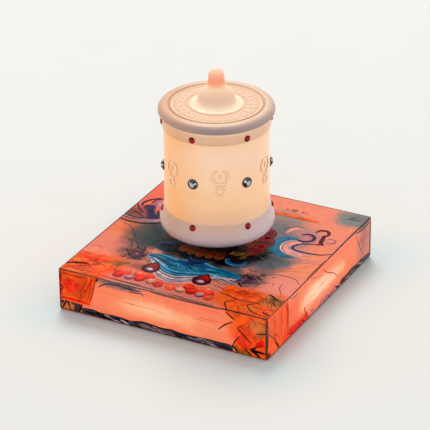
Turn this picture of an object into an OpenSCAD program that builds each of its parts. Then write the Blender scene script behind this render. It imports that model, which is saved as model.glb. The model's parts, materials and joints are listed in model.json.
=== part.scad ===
// Prayer-wheel table lamp: a lit drum that turns on a spindle above a square light-box base.
// Millimetres, +Z up. The origin is on the ground, under the middle of the base.
// The front face is -Y. The power socket and the button are in the back face, +Y.

/* [Base] */
// Width of the base, left to right
base_w = 200; // [190:1:240]
// Depth of the base, front to back
base_d = 208; // [200:1:248]
// Height of the base's top face above the ground
base_h = 40; // [40:0.5:48]
// Thickness of the cover's walls and top
cover_t = 4; // [3:0.5:5]
// Rounding of the cover's upright corners
cover_corner_r = 2; // [1:0.5:6]
// Height of the rubber feet's tread below the cover
foot_tread = 1; // [0.5:0.5:3]

/* [Drum] */
// Outer radius of the drum wall
drum_r = 45.6; // [44:0.2:48]
// Thickness of the drum wall
drum_t = 2.6; // [2.2:0.2:3]
// Clear gap between the base and the drum's underside
drum_gap = 17.4; // [14:0.2:24]
// Height of the rounded foot below the lower band
foot_h = 12.6; // [11:0.2:16]
// Height of the lower band
lower_band_h = 9.3; // [8:0.1:12]
// Height of the plain wall between the bands
wall_h = 75.5; // [66:0.5:90]
// Height of the upper band
upper_band_h = 11.2; // [9:0.1:14]
// Number of studs around each ring
stud_count = 6; // [4:1:8]
// Turn of the first stud from the front
stud_turn = 1; // [0:1:30]

/* [Lid] */
// Radius of the lid
lid_r = 50.1; // [49:0.1:54]
// Thickness of the lid's rim
lid_h = 7.7; // [7:0.1:9]
// Height of the bell on the lid
bell_h = 18.3; // [16:0.1:24]
// Height of the finial above the bell
finial_h = 14; // [12:0.5:20]

/* [Drive] */
// Distance from the drum's axis to the motor's axis
motor_offset = 54; // [50:1:60]
// Radius of the drum pulley under the belt
drum_pulley_r = 14; // [12:0.5:15]
// Radius of the motor pulley under the belt
motor_pulley_r = 5; // [4:0.5:6]
// Travel of the power button
button_travel = 1.2; // [0.5:0.1:1.2]

/* [Hidden] */
$fn = 64;

// Base heights
cover_z = foot_tread;
roof_z = base_h - cover_t;
tray_t = 3;
tray_z = cover_z + 0.5;
floor_z = tray_z + tray_t;
diffuser_t = 2;
in_x = base_w / 2 - cover_t;
in_y = base_d / 2 - cover_t;
back_y = base_d / 2;
boss_w = 12;
boss_x = in_x - boss_w / 2;
boss_y = in_y - boss_w / 2;
pad_r = 9;
pad_inset = 18;
screw_r = 1.5;
pilot_depth = 2.6;
small_screw_r = 1;
plate_screw_r = 1.25;
led_w = 9;
led_inset = 7.5;
led_pitch = 18;

// Control board, against the back wall
board = [56, 38, 1.6];
board_x = 40;
board_y = in_y - 3 - board[1] / 2;
board_z = floor_z + 4;
board_hole_x = board[0] / 2 - 4;
board_hole_y = board[1] / 2 - 14;
usb_x = board_x - 12;
usb = [8.94, 7.4, 3.26];
usb_z = board_z + board[2] + usb[2] / 2;
button_x = board_x + 14;
button_z = board_z + board[2] + 3;
button_r = 4;
button_flange_r = 4.6;
button_dish_r = 7;
dish_depth = 1.5;
switch = [6, 3.5, 6];
switch_y = board_y + board[1] / 2 - switch[1] / 2;
switch_bore_r = 1.8;

// Battery
cell = [62, 36, 12];
cell_x = -44;
cell_y = in_y - 20 - cell[1] / 2;

// Bearings, 12 mm bore, 21 mm outside, 5 mm wide
bearing_bore_r = 6;
bearing_out_r = 10.5;
bearing_w = 5;
ball_r = 1.15;
ball_count = 12;
race_r = (bearing_bore_r + bearing_out_r) / 2;
race_gap = 0.05;
low_bearing_z = floor_z + 11;
top_bearing_z = base_h - 1.5;
housing_r = 13;
housing_top_z = top_bearing_z + bearing_w + 0.5;
clearance = 0.1;

// Belt drive
belt_t = 1;
belt_w = 3.6;
belt_gap = 0.05;
belt_z = floor_z + 7.1;
pulley_h = 6;
flange_t = 1;
shaft_r = 1.5;
motor_r = 11;
motor_h = 13;
bracket_z = belt_z + pulley_h / 2 + 1;
bracket = [46, 26, 1.5];

// Lamp post and lamp, which stand still inside the drum
post_r = 3;
post_bore_r = 1.8;
post_flange_r = 11;
spindle_bore_r = 4.2;
spindle_collar_r = 6.9;
lamp_r = 15;

// Drum heights
drum_z = base_h + drum_gap;
drum_floor_t = 3.6;
foot_bulge_r = drum_r + 4.3;
foot_flat_r = 41;
foot_bulge_z = drum_z + 8.6;
lower_band_z = drum_z + foot_h;
lower_band_r = drum_r + 1.2;
wall_low_z = lower_band_z + lower_band_h;
upper_band_z = wall_low_z + wall_h;
upper_band_r = drum_r + 1;
lid_z = upper_band_z + upper_band_h;
lid_top_z = lid_z + lid_h;
bell_top_z = lid_top_z + bell_h;
drum_in_r = drum_r - drum_t;
wall_seat_z = drum_z + 6.6;
rebate = 0.8;
spindle_top_z = drum_z + 14;
hub_h = 3;
hub_r = 19;
lamp_low_z = drum_z + 22;
lamp_top_z = upper_band_z - 8;
mid_stud_z = wall_low_z + wall_h / 2;
low_stud_z = lower_band_z + 6;
low_stud_angle = 180 * (low_stud_z - foot_bulge_z) / (wall_low_z - foot_bulge_z);
low_stud_seat_r = lower_band_r + (foot_bulge_r - lower_band_r) * (1 + cos(low_stud_angle)) / 2;
low_stud_tilt = atan((foot_bulge_r - lower_band_r) / 2 * sin(low_stud_angle) * PI / (wall_low_z - foot_bulge_z));
top_stud_z = upper_band_z + 3.6;
crystal_r = 4;
red_stud_r = 3;
red_stud_rise = 1.7;
red_seat = 0.4;
setting_r = crystal_r + 0.7;
stud_seat_r = drum_r - 0.4;
motif_depth = 1;
motif_z = mid_stud_z + 4;

// Lid details
rim_round = 5;
rim_low_round = 2;
groove_r = 40.4;
groove_w = 1.6;
groove_depth = 1.2;
inlay_out_r = 39;
inlay_in_r = 23.6;
inlay_sink = 0.8;
bell_foot_r = 23;
bell_neck_r = 7.8;
bell_waist_r = 15.6;
bell_waist_h = 7.3;
bud_r = 6.9;
petal_count = 24;
rod_r = 2;

// ---- shared shapes ----

module tube(outer_r, inner_r, low, high) {
    translate([0, 0, low])
        difference() {
            cylinder(r = outer_r, h = high - low);
            translate([0, 0, -1]) cylinder(r = inner_r, h = high - low + 2);
        }
}

module block(size, centre, low) {
    translate([centre[0] - size[0] / 2, centre[1] - size[1] / 2, low]) cube(size);
}

// Outline of a rectangle with round corners
module round_rect(x, y, r) {
    square([x - 2 * r, y], center = true);
    square([x, y - 2 * r], center = true);
    for (sx = [-1, 1], sy = [-1, 1]) translate([sx * (x / 2 - r), sy * (y / 2 - r)]) circle(r);
}

// A pan-head screw with its head's underside at z = 0 and its shank below
module pan_screw(r, length) {
    cylinder(r = r * 1.9, h = r * 1.2);
    translate([0, 0, -length]) cylinder(r = r, h = length + 0.1);
}

module at_corners(x, y) {
    for (sx = [-1, 1], sy = [-1, 1]) translate([sx * x, sy * y, 0]) children();
}

// Copies of a child around the drum, each with +Z turned to point outwards
module around_drum(turn) {
    for (i = [0 : stud_count - 1])
        rotate([0, 0, -90 + turn + i * 360 / stud_count]) rotate([0, 90, 0]) children();
}

// A wire through a list of points, as eight-sided runs that overlap at the bends
module lead(points, r) {
    lap = r * 0.6;
    for (i = [0 : len(points) - 2]) {
        span = points[i + 1] - points[i];
        run = norm(span);
        translate(points[i])
            rotate([0, acos(span[2] / run), atan2(span[1], span[0])])
            translate([0, 0, -lap]) cylinder(r = r, h = run + 2 * lap, $fn = 8);
    }
}

// ---- base ----

module base_cover() {
    color("salmon")
        difference() {
            translate([0, 0, cover_z]) linear_extrude(base_h - cover_z) round_rect(base_w, base_d, cover_corner_r);
            difference() {
                translate([-in_x, -in_y, cover_z - 1]) cube([2 * in_x, 2 * in_y, roof_z - cover_z + 1]);
                for (sx = [-1, 1], sy = [-1, 1])
                    block([boss_w, boss_w, roof_z - floor_z], [sx * boss_x, sy * boss_y], floor_z + 0.1);
            }
            translate([0, 0, roof_z - 1]) cylinder(r = housing_r + clearance, h = cover_t + 2);
            at_corners(boss_x, boss_y) translate([0, 0, floor_z - 1]) cylinder(r = screw_r, h = 16);
            back_cutouts();
        }
}

// The openings in the back wall, for the plug and for the button
module back_cutouts() {
    translate([usb_x, back_y - cover_t - 1, usb_z]) rotate([-90, 0, 0])
        linear_extrude(cover_t + 2) round_rect(12.4, 6.8, 3);
    translate([button_x, back_y - cover_t - 1, button_z]) rotate([-90, 0, 0])
        cylinder(r = button_r + 0.3, h = cover_t + 2);
    translate([button_x, back_y - dish_depth, button_z]) rotate([-90, 0, 0])
        cylinder(r = button_dish_r, h = dish_depth + 1);
}

module top_diffuser() {
    color("white")
        translate([0, 0, roof_z - diffuser_t])
        difference() {
            block([2 * in_x - 0.4, 2 * in_y - 0.4, diffuser_t], [0, 0], 0);
            for (sx = [-1, 1], sy = [-1, 1])
                block([boss_w + 0.4, boss_w + 0.4, diffuser_t + 2], [sx * boss_x, sy * boss_y], -1);
            translate([0, 0, -1]) cylinder(r = housing_r + clearance, h = diffuser_t + 2);
        }
}

module base_tray() {
    color("gainsboro")
        difference() {
            union() {
                block([2 * in_x - 0.6, 2 * in_y - 0.6, tray_t], [0, 0], tray_z);
                translate([board_x, board_y, floor_z - 0.1])
                    at_corners(board_hole_x, board_hole_y) cylinder(r = 3, h = board_z - floor_z + 0.1);
            }
            at_corners(in_x - pad_inset, in_y - pad_inset)
                translate([0, 0, tray_z - 1]) cylinder(r = pad_r + 0.1, h = 2.5);
            at_corners(boss_x, boss_y) translate([0, 0, tray_z - 1]) cylinder(r = screw_r + 0.3, h = tray_t + 2);
            at_corners(boss_x, boss_y)
                translate([0, 0, tray_z - 1]) cylinder(r = screw_r * 1.9 + 0.3, h = 1 + screw_r);
            translate([board_x, board_y, floor_z + 0.5])
                at_corners(board_hole_x, board_hole_y) cylinder(r = small_screw_r, h = 5);
            at_post_screws() tray_pilot(small_screw_r);
            at_strap_screws() tray_pilot(small_screw_r);
            at_bracket_screws() tray_pilot(plate_screw_r);
        }
}

// A blind hole in the tray's upper face
module tray_pilot(r) {
    translate([0, 0, floor_z - pilot_depth]) cylinder(r = r, h = pilot_depth + 1);
}

module at_post_screws() {
    for (i = [0 : 2]) rotate([0, 0, 60 + i * 120]) translate([7.5, 0, 0]) children();
}

module at_strap_screws() {
    for (s = [-1, 1]) translate([cell_x, cell_y + s * (cell[1] / 2 + 4.6), 0]) children();
}

module at_bracket_screws() {
    for (s = [-1, 1]) translate([s * (bracket[0] / 2 + 4.5), -motor_offset, 0]) children();
}

module rubber_feet() {
    color("dimgray")
        at_corners(in_x - pad_inset, in_y - pad_inset)
        difference() {
            cylinder(r = pad_r, h = tray_z + 1.5);
            translate([0, 0, -1]) cylinder(r = pad_r * 0.45, h = 1.6);
        }
}

module tray_screws() {
    color("silver")
        at_corners(boss_x, boss_y)
        translate([0, 0, tray_z + screw_r])
        mirror([0, 0, 1])
        difference() {
            pan_screw(screw_r, 11);
            translate([0, 0, screw_r * 0.6]) cylinder(r = 1.2, h = 3, $fn = 6);
        }
}

module led_strips() {
    run_x = 2 * (in_x - boss_w - 3);
    run_y = 2 * (in_y - boss_w - 3);
    color("ivory") {
        for (s = [-1, 1]) block([run_x, led_w, 0.4], [0, s * (in_y - led_inset)], floor_z);
        for (s = [-1, 1]) block([led_w, run_y, 0.4], [s * (in_x - led_inset), 0], floor_z);
    }
}

module led_chips() {
    across = [for (i = [-4 : 4]) i * led_pitch];
    color("lightyellow") {
        for (s = [-1, 1], x = across)
            block([5, 5, 1.5], [x, s * (in_y - led_inset)], floor_z + 0.4);
        for (s = [-1, 1], y = across)
            block([5, 5, 1.5], [s * (in_x - led_inset), y], floor_z + 0.4);
    }
}

module control_board() {
    color("darkgreen")
        difference() {
            block(board, [board_x, board_y], board_z);
            translate([board_x, board_y, board_z - 1])
                at_corners(board_hole_x, board_hole_y) cylinder(r = 1.3, h = 4);
        }
}

module board_chips() {
    top = board_z + board[2];
    color("#222222") {
        block([9, 7, 1.4], [board_x - 4, board_y + 2], top);
        block([6, 5, 1.2], [board_x + 9, board_y - 6], top);
        block([10, 5, 5], [board_x - 14, board_y - 15], top);
        block([10, 5, 5], [board_x, board_y - 15], top);
        block([10, 5, 5], [board_x + 14, board_y - 15], top);
        translate([board_x + 17.5, board_y - 3, top]) cylinder(r = 4, h = 8);
    }
}

module board_screws() {
    color("silver")
        translate([board_x, board_y, board_z + board[2]])
        at_corners(board_hole_x, board_hole_y) pan_screw(small_screw_r, 4.5);
}

module usb_socket() {
    color("silver")
        translate([usb_x, back_y - cover_t - usb[1] + 1.2, usb_z])
        rotate([-90, 0, 0])
        difference() {
            linear_extrude(usb[1]) round_rect(usb[0], usb[2], 1.6);
            translate([0, 0, 1]) linear_extrude(usb[1]) difference() {
                round_rect(usb[0] - 0.6, usb[2] - 0.6, 1.3);
                square([6.6, 0.7], center = true);
            }
        }
}

module tact_switch() {
    color("#333333")
        difference() {
            block(switch, [button_x, switch_y], board_z + board[2]);
            translate([button_x, switch_y - switch[1] / 2 + 0.6, button_z]) rotate([-90, 0, 0])
                cylinder(r = switch_bore_r, h = switch[1]);
        }
}

// Cap, retaining flange and the stem that works the switch
module power_button() {
    stem_y = switch_y + switch[1] / 2 - 1.2;
    cap_y = back_y - 0.3;
    flange_y = back_y - cover_t - 0.3;
    color("white")
        translate([button_x, 0, button_z]) {
            translate([0, flange_y, 0]) rotate([-90, 0, 0]) cylinder(r = button_r, h = cap_y - flange_y);
            translate([0, flange_y - 0.6, 0]) rotate([-90, 0, 0]) cylinder(r = button_flange_r, h = 0.6);
            translate([0, stem_y, 0]) rotate([-90, 0, 0]) cylinder(r = 1.4, h = flange_y - stem_y);
        }
}

module battery_pack() {
    color("royalblue")
        translate([cell_x, cell_y, floor_z]) {
            linear_extrude(cell[2]) round_rect(cell[0], cell[1], 2);
        }
}

module battery_strap() {
    strap_w = 14;
    foot = 7;
    t = 1.2;
    color("silver")
        difference() {
            union() {
                block([strap_w, cell[1] + 2 * t + 0.4, t], [cell_x, cell_y], floor_z + cell[2]);
                for (s = [-1, 1]) {
                    block([strap_w, t, cell[2] + t], [cell_x, cell_y + s * (cell[1] / 2 + 0.2 + t / 2)], floor_z);
                    block([strap_w, foot, t], [cell_x, cell_y + s * (cell[1] / 2 + 0.2 + foot / 2)], floor_z);
                }
            }
            at_strap_screws() translate([0, 0, floor_z - 1]) cylinder(r = 1.3, h = 4);
        }
}

module strap_screws() {
    color("gray")
        at_strap_screws() translate([0, 0, floor_z + 1.2]) pan_screw(small_screw_r, 1.2 + pilot_depth);
}

// ---- drive ----

module motor_bracket() {
    leg_t = 1.5;
    foot = 9;
    color("silver")
        translate([0, -motor_offset, 0])
        difference() {
            union() {
                block(bracket, [0, 0], bracket_z);
                for (s = [-1, 1]) {
                    block([leg_t, bracket[1], bracket_z - floor_z + 0.1], [s * (bracket[0] - leg_t) / 2, 0], floor_z);
                    block([foot, bracket[1], leg_t], [s * (bracket[0] / 2 + foot / 2 - leg_t), 0], floor_z);
                }
            }
            translate([0, 0, bracket_z - 1]) cylinder(r = 3.2, h = 4);
            translate([0, motor_offset, floor_z - 1]) at_bracket_screws() cylinder(r = 1.6, h = 4);
        }
}

module bracket_screws() {
    color("gray")
        at_bracket_screws() translate([0, 0, floor_z + 1.5]) pan_screw(plate_screw_r, 1.5 + pilot_depth);
}

module motor_body() {
    low = bracket_z + bracket[2];
    color("silver")
        translate([0, -motor_offset, 0]) {
            translate([0, 0, low]) difference() {
                union() {
                    cylinder(r = motor_r, h = motor_h);
                    translate([0, 0, -1.5]) cylinder(r = 3, h = 1.6);
                    translate([0, 0, motor_h - 0.1]) cylinder(r = 3, h = 1.1);
                }
                translate([0, 0, -2]) cylinder(r = shaft_r + 0.05, h = motor_h - 1);
            }
        }
}

module motor_shaft() {
    low = belt_z - pulley_h / 2 - 0.5;
    color("gray")
        translate([0, -motor_offset, low])
        cylinder(r = shaft_r, h = bracket_z + bracket[2] + motor_h - 4 - low);
}

// A flanged pulley centred on the belt's height
module pulley(rim_r, bore_r) {
    translate([0, 0, belt_z - pulley_h / 2])
        difference() {
            union() {
                cylinder(r = rim_r, h = pulley_h);
                cylinder(r = rim_r + 2, h = flange_t);
                translate([0, 0, pulley_h - flange_t]) cylinder(r = rim_r + 2, h = flange_t);
            }
            translate([0, 0, -1]) cylinder(r = bore_r, h = pulley_h + 2);
        }
}

module motor_pulley() {
    color("whitesmoke") translate([0, -motor_offset, 0]) pulley(motor_pulley_r, shaft_r);
}

module drum_pulley() {
    color("whitesmoke") {
        pulley(drum_pulley_r, bearing_bore_r);
        tube(7.2, bearing_bore_r, belt_z + pulley_h / 2 - 0.1, low_bearing_z);
    }
}

// One flat loop: an arc on each pulley and the two straight runs between them
module drive_belt() {
    big = drum_pulley_r + belt_gap;
    small = motor_pulley_r + belt_gap;
    lean = asin((big - small) / motor_offset);
    run = motor_offset * cos(lean);
    lap = 0.2;
    color("#333333")
        translate([0, 0, belt_z - belt_w / 2]) {
            rotate([0, 0, -lean])
                rotate_extrude(angle = 180 + 2 * lean) translate([big, 0]) square([belt_t, belt_w]);
            translate([0, -motor_offset, 0]) rotate([0, 0, 180 + lean])
                rotate_extrude(angle = 180 - 2 * lean) translate([small, 0]) square([belt_t, belt_w]);
            for (s = [0, 1])
                mirror([s, 0, 0]) rotate([0, 0, -lean])
                    translate([big, -run - lap, 0]) cube([belt_t, run + 2 * lap, belt_w]);
        }
}

// ---- bearings and spindle ----

module bearing_housing() {
    flange_z = roof_z - diffuser_t - 3;
    shoulder_r = bearing_out_r - 1.2;
    color("#3a3a3a")
        difference() {
            union() {
                translate([0, 0, low_bearing_z - 0.5]) cylinder(r = housing_r, h = housing_top_z - low_bearing_z + 0.5);
                translate([0, 0, flange_z]) cylinder(r = housing_r + 9, h = 3);
            }
            translate([0, 0, low_bearing_z - 2]) cylinder(r = shoulder_r, h = housing_top_z - low_bearing_z + 4);
            translate([0, 0, low_bearing_z - 2]) cylinder(r = bearing_out_r, h = bearing_w + 2);
            translate([0, 0, top_bearing_z]) cylinder(r = bearing_out_r, h = bearing_w + 2);
        }
}

module collar_nut() {
    color("#2a2422")
        difference() {
            tube(18, housing_r + clearance, base_h, housing_top_z);
            for (i = [0 : 5])
                rotate([0, 0, i * 60]) translate([18.6, 0, base_h + 1]) cylinder(r = 2, h = 5);
        }
}

module bearing_ring(outer_r, inner_r) {
    for (z = [low_bearing_z, top_bearing_z])
        translate([0, 0, z])
            difference() {
                tube(outer_r, inner_r, 0, bearing_w);
                rotate_extrude() translate([race_r, bearing_w / 2]) circle(ball_r + race_gap, $fn = 32);
            }
}

module bearing_outer_rings() {
    color("silver") bearing_ring(bearing_out_r, race_r + 0.75);
}

module bearing_inner_rings() {
    color("lightgray") bearing_ring(race_r - 0.75, bearing_bore_r);
}

module bearing_balls() {
    color("gray")
        for (z = [low_bearing_z, top_bearing_z], i = [0 : ball_count - 1])
            rotate([0, 0, i * 360 / ball_count]) translate([race_r, 0, z + bearing_w / 2])
                sphere(r = ball_r, $fn = 24);
}

module spindle() {
    low = belt_z - pulley_h / 2;
    color("#4a4038")
        difference() {
            union() {
                translate([0, 0, low]) cylinder(r = bearing_bore_r, h = spindle_top_z - low);
                translate([0, 0, top_bearing_z + bearing_w])
                    cylinder(r = spindle_collar_r, h = drum_z - top_bearing_z - bearing_w);
            }
            translate([0, 0, low - 1]) cylinder(r = spindle_bore_r, h = spindle_top_z - low + 2);
        }
}

// ---- lamp, standing still on its post ----

module lamp_post() {
    color("silver")
        difference() {
            union() {
                translate([0, 0, floor_z]) cylinder(r = post_flange_r, h = 2);
                translate([0, 0, floor_z]) cylinder(r = post_r, h = lamp_low_z - floor_z);
            }
            translate([0, 0, floor_z - 1]) cylinder(r = post_bore_r, h = lamp_low_z - floor_z + 2);
            translate([0, -1.3, floor_z - 1]) cube([post_flange_r + 1, 2.6, 3.6]);
            at_post_screws() translate([0, 0, floor_z - 1]) cylinder(r = 1.3, h = 4);
        }
}

module post_screws() {
    color("gray")
        at_post_screws() translate([0, 0, floor_z + 2]) pan_screw(small_screw_r, 2 + pilot_depth);
}

module lamp_socket() {
    color("white")
        difference() {
            union() {
                translate([0, 0, lamp_low_z - 6]) cylinder(r = 6, h = 6.1);
                translate([0, 0, lamp_low_z]) cylinder(r = lamp_r, h = 3);
            }
            translate([0, 0, lamp_low_z - 7]) cylinder(r = post_r, h = 7);
            translate([0, 0, lamp_low_z - 1]) cylinder(r = post_bore_r, h = 5);
        }
}

module led_column() {
    low = lamp_low_z + 3;
    color("ivory")
        difference() {
            translate([0, 0, low]) cylinder(r = 7, h = lamp_top_z - 5 - low, $fn = 6);
            translate([0, 0, low - 1]) cylinder(r = 3.5, h = lamp_top_z - 3 - low);
        }
}

module column_chips() {
    low = lamp_low_z + 8;
    rows = 4;
    rise = (lamp_top_z - 12 - low) / (rows - 1);
    face_r = 7 * cos(30);
    color("lightyellow")
        for (side = [0 : 5], row = [0 : rows - 1])
            rotate([0, 0, 30 + side * 60]) translate([face_r, -1.75, low + row * rise - 1.75])
                cube([0.8, 3.5, 3.5]);
}

module lamp_diffuser() {
    color("white")
        difference() {
            translate([0, 0, lamp_low_z + 3]) cylinder(r = lamp_r, h = lamp_top_z - lamp_low_z - 3);
            translate([0, 0, lamp_low_z + 2]) cylinder(r = lamp_r - 1.5, h = lamp_top_z - lamp_low_z - 3.5);
        }
}

// Leads from the board to the post, to the motor and to the battery
module wire_loom() {
    wire_r = 0.9;
    lift = floor_z + 1.1;
    board_edge = board_y - board[1] / 2;
    plug_z = board_z + board[2] + 2.5;
    plug_y = board_y - 18.4;
    color("firebrick") {
        lead([[board_x - 14, plug_y, plug_z], [board_x - 14, board_edge - 8, lift], [26, 12, lift], [20, 0, lift],
            [post_bore_r + 1.4, 0, lift]], wire_r);
        lead([[board_x, plug_y, plug_z], [board_x, board_edge - 8, lift], [42, 10, lift], [42, -36, lift],
            [18, -motor_offset + 26, lift], [18, -motor_offset + 18, bracket_z + 6],
            [7, -motor_offset + 10.6, bracket_z + 6]], wire_r);
        lead([[board_x + 14, plug_y, plug_z], [board_x + 14, board_edge - 12, lift], [8, board_edge - 12, lift],
            [cell_x + cell[0] / 2 + 1, cell_y - 6, floor_z + 6]], wire_r);
    }
}

// ---- drum ----

// The drum's floor, rounded foot and flared lower band, turned in one piece
module drum_foot() {
    bowl = [for (a = [0 : 15 : 90])
        [foot_flat_r + (foot_bulge_r - foot_flat_r) * sin(a), foot_bulge_z - (foot_bulge_z - drum_z) * cos(a)]];
    flare = [for (a = [15 : 15 : 180])
        [lower_band_r + (foot_bulge_r - lower_band_r) * (1 + cos(a)) / 2,
            foot_bulge_z + (wall_low_z - foot_bulge_z) * a / 180]];
    hollow = [[drum_r, wall_low_z], [drum_r, wall_seat_z], [drum_in_r, wall_seat_z],
        [drum_in_r - 3, drum_z + drum_floor_t], [bearing_bore_r, drum_z + drum_floor_t], [bearing_bore_r, drum_z]];
    color("rosybrown") difference() {
        rotate_extrude() polygon(concat(bowl, flare, hollow));
        at_hub_screws() translate([0, 0, drum_z + 0.8]) cylinder(r = plate_screw_r, h = drum_floor_t);
        red_seats(low_stud_seat_r, low_stud_z, low_stud_tilt);
    }
}

module drum_hub() {
    low = drum_z + drum_floor_t;
    color("silver")
        difference() {
            union() {
                translate([0, 0, low]) cylinder(r = hub_r, h = hub_h);
                translate([0, 0, low]) cylinder(r = 10, h = spindle_top_z - low);
            }
            translate([0, 0, low - 1]) cylinder(r = bearing_bore_r, h = spindle_top_z - low + 2);
            at_hub_screws() translate([0, 0, low - 1]) cylinder(r = 1.5, h = hub_h + 2);
        }
}

module at_hub_screws() {
    for (i = [0 : 3]) rotate([0, 0, 45 + i * 90]) translate([14.5, 0, 0]) children();
}

module hub_screws() {
    color("gray")
        at_hub_screws() translate([0, 0, drum_z + drum_floor_t + hub_h]) pan_screw(plate_screw_r, hub_h + pilot_depth);
}

// The flat seats are cut for the stud settings
module drum_wall() {
    color("bisque")
        difference() {
            tube(drum_r, drum_in_r, wall_seat_z, lid_z);
            tube(drum_r + 1, drum_r - rebate, upper_band_z, lid_z + 1);
            around_drum(stud_turn) translate([-mid_stud_z, 0, stud_seat_r]) cylinder(r = setting_r, h = 3);
        }
}

// The printed roll that a prayer wheel holds, here a thin translucent sleeve
module scroll_sleeve() {
    color("wheat") tube(drum_in_r - 0.4, drum_in_r - 1.2, wall_seat_z, upper_band_z + 4);
}

module upper_band() {
    bead = 1.2;
    color("tan") difference() {
        union() {
            tube(upper_band_r, drum_r - rebate, upper_band_z, lid_z);
            translate([0, 0, lid_z - bead])
                rotate_extrude() translate([upper_band_r - 0.4, 0]) circle(bead, $fn = 32);
        }
        red_seats(upper_band_r, top_stud_z, 0);
    }
}

// One raised motif, 24 tall and 13 wide: a pair of facing leaves, a bud and a ring
module motif() {
    difference() {
        translate([0, 5]) circle(6.5);
        translate([0, 8.5]) circle(5.2);
        translate([0, 13]) square([4.5, 8], center = true);
    }
    translate([0, 5.5]) circle(1.9);
    translate([0, -2.6]) square([8.5, 1.5], center = true);
    difference() {
        translate([0, -7.7]) circle(4.3);
        translate([0, -7.7]) circle(2.3);
    }
}

module drum_ornaments() {
    color("bisque")
        intersection() {
            around_drum(stud_turn + 180 / stud_count)
                translate([-motif_z, 0, drum_r - 4]) linear_extrude(8) rotate([0, 0, 90]) motif();
            tube(drum_r + motif_depth, drum_r, upper_band_z - wall_h, upper_band_z);
        }
}

module stud_settings() {
    color("silver")
        around_drum(stud_turn)
        translate([-mid_stud_z, 0, stud_seat_r])
        difference() {
            cylinder(r = setting_r, h = 1.2);
            translate([0, 0, 0.7]) cylinder(r = crystal_r, h = 1);
        }
}

// Cut stones: an eight-sided girdle under a shallow crown with a flat table
module crystal_studs() {
    color("lightgray")
        around_drum(stud_turn)
        translate([-mid_stud_z, 0, stud_seat_r + 0.7]) {
            cylinder(r = crystal_r, h = 0.8, $fn = 8);
            translate([0, 0, 0.8]) cylinder(r1 = crystal_r, r2 = crystal_r * 0.5, h = 1.5, $fn = 8);
        }
}

// Places on a band, each with +Z square to the band's surface and z = 0 at the bottom of its seat
module at_red_seats(band_r, z, tilt) {
    around_drum(stud_turn)
        translate([-z, 0, band_r]) rotate([0, -tilt, 0]) translate([0, 0, -red_seat]) children();
}

// Small domed stones, each let into its band as deep as its seat
module red_studs(band_r, z, tilt) {
    dome = [for (a = [0 : 15 : 90]) [red_stud_r * cos(a), red_seat + red_stud_rise * sin(a)]];
    color("darkred")
        at_red_seats(band_r, z, tilt)
        rotate_extrude() polygon(concat([[0, 0], [red_stud_r, 0]], dome));
}

// The flat-bottomed seats that the stones sit in
module red_seats(band_r, z, tilt) {
    at_red_seats(band_r, z, tilt) cylinder(r = red_stud_r, h = 4);
}

module upper_studs() {
    red_studs(upper_band_r, top_stud_z, 0);
}

module lower_studs() {
    red_studs(low_stud_seat_r, low_stud_z, low_stud_tilt);
}

// ---- lid ----

// Top plate with a rounded rim, a ring groove, a seat for the inlay and a hollow underside
module lid_shell() {
    under_r = drum_in_r - 0.4;
    rim_top = [for (a = [0 : 10 : 90]) [lid_r + rim_round * (cos(a) - 1), lid_top_z + rim_round * (sin(a) - 1)]];
    rim_low = [for (a = [-90 : 15 : 0])
        [lid_r + rim_low_round * (cos(a) - 1), lid_z + rim_low_round * (1 + sin(a))]];
    inner = [[groove_r + groove_w / 2, lid_top_z], [groove_r + groove_w / 2, lid_top_z - groove_depth],
        [groove_r - groove_w / 2, lid_top_z - groove_depth], [groove_r - groove_w / 2, lid_top_z],
        [inlay_out_r, lid_top_z], [inlay_out_r, lid_top_z - inlay_sink * 2],
        [inlay_in_r, lid_top_z - inlay_sink * 2], [inlay_in_r, lid_top_z], [rod_r + 0.2, lid_top_z],
        [rod_r + 0.2, lid_z + 3], [under_r, lid_z + 3], [under_r, lid_z]];
    color("thistle") rotate_extrude() polygon(concat(rim_low, rim_top, inner));
}

// Ring under the lid that centres it in the drum wall
module lid_locator() {
    color("white") tube(drum_in_r - 0.4, drum_in_r - 2.2, upper_band_z + 5, lid_z + 3);
}

// Ring with a raised border and petals, set into the lid
module lid_inlay() {
    low = lid_top_z - inlay_sink * 2;
    mid_r = (inlay_out_r + inlay_in_r) / 2;
    color("peachpuff") {
        tube(inlay_out_r, inlay_in_r, low, lid_top_z - inlay_sink);
        tube(inlay_out_r, inlay_out_r - 1.2, low, lid_top_z - 0.2);
        for (i = [0 : petal_count - 1])
            rotate([0, 0, i * 360 / petal_count]) translate([mid_r, 0, low])
                linear_extrude(inlay_sink * 2 - 0.2) intersection() {
                    translate([0, 4]) circle(5.5);
                    translate([0, -4]) circle(5.5);
                }
    }
}

// Half outline of the bell: a hollow curve up from the foot, then an S-shaped shoulder in to the neck
function bell_outline(inset) = concat(
    [for (a = [0 : 15 : 90])
        [bell_waist_r + (bell_foot_r - bell_waist_r) * (1 - sin(a)) - inset, lid_top_z + bell_waist_h * (1 - cos(a))]],
    [for (a = [15 : 15 : 180])
        [bell_neck_r + (bell_waist_r - bell_neck_r) * (1 + cos(a)) / 2 - inset,
            lid_top_z + bell_waist_h + (bell_h - bell_waist_h - inset) * a / 180]]);

// Hollow bell, clamped to the lid by the rod
module lid_bell() {
    wall = 2;
    outside = bell_outline(0);
    inside = bell_outline(wall);
    last = len(inside) - 1;
    color("peachpuff")
        rotate_extrude()
        polygon(concat(outside, [[rod_r + 0.2, bell_top_z], [rod_r + 0.2, bell_top_z - wall]],
            [for (i = [last : -1 : 0]) inside[i]]));
}

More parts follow.
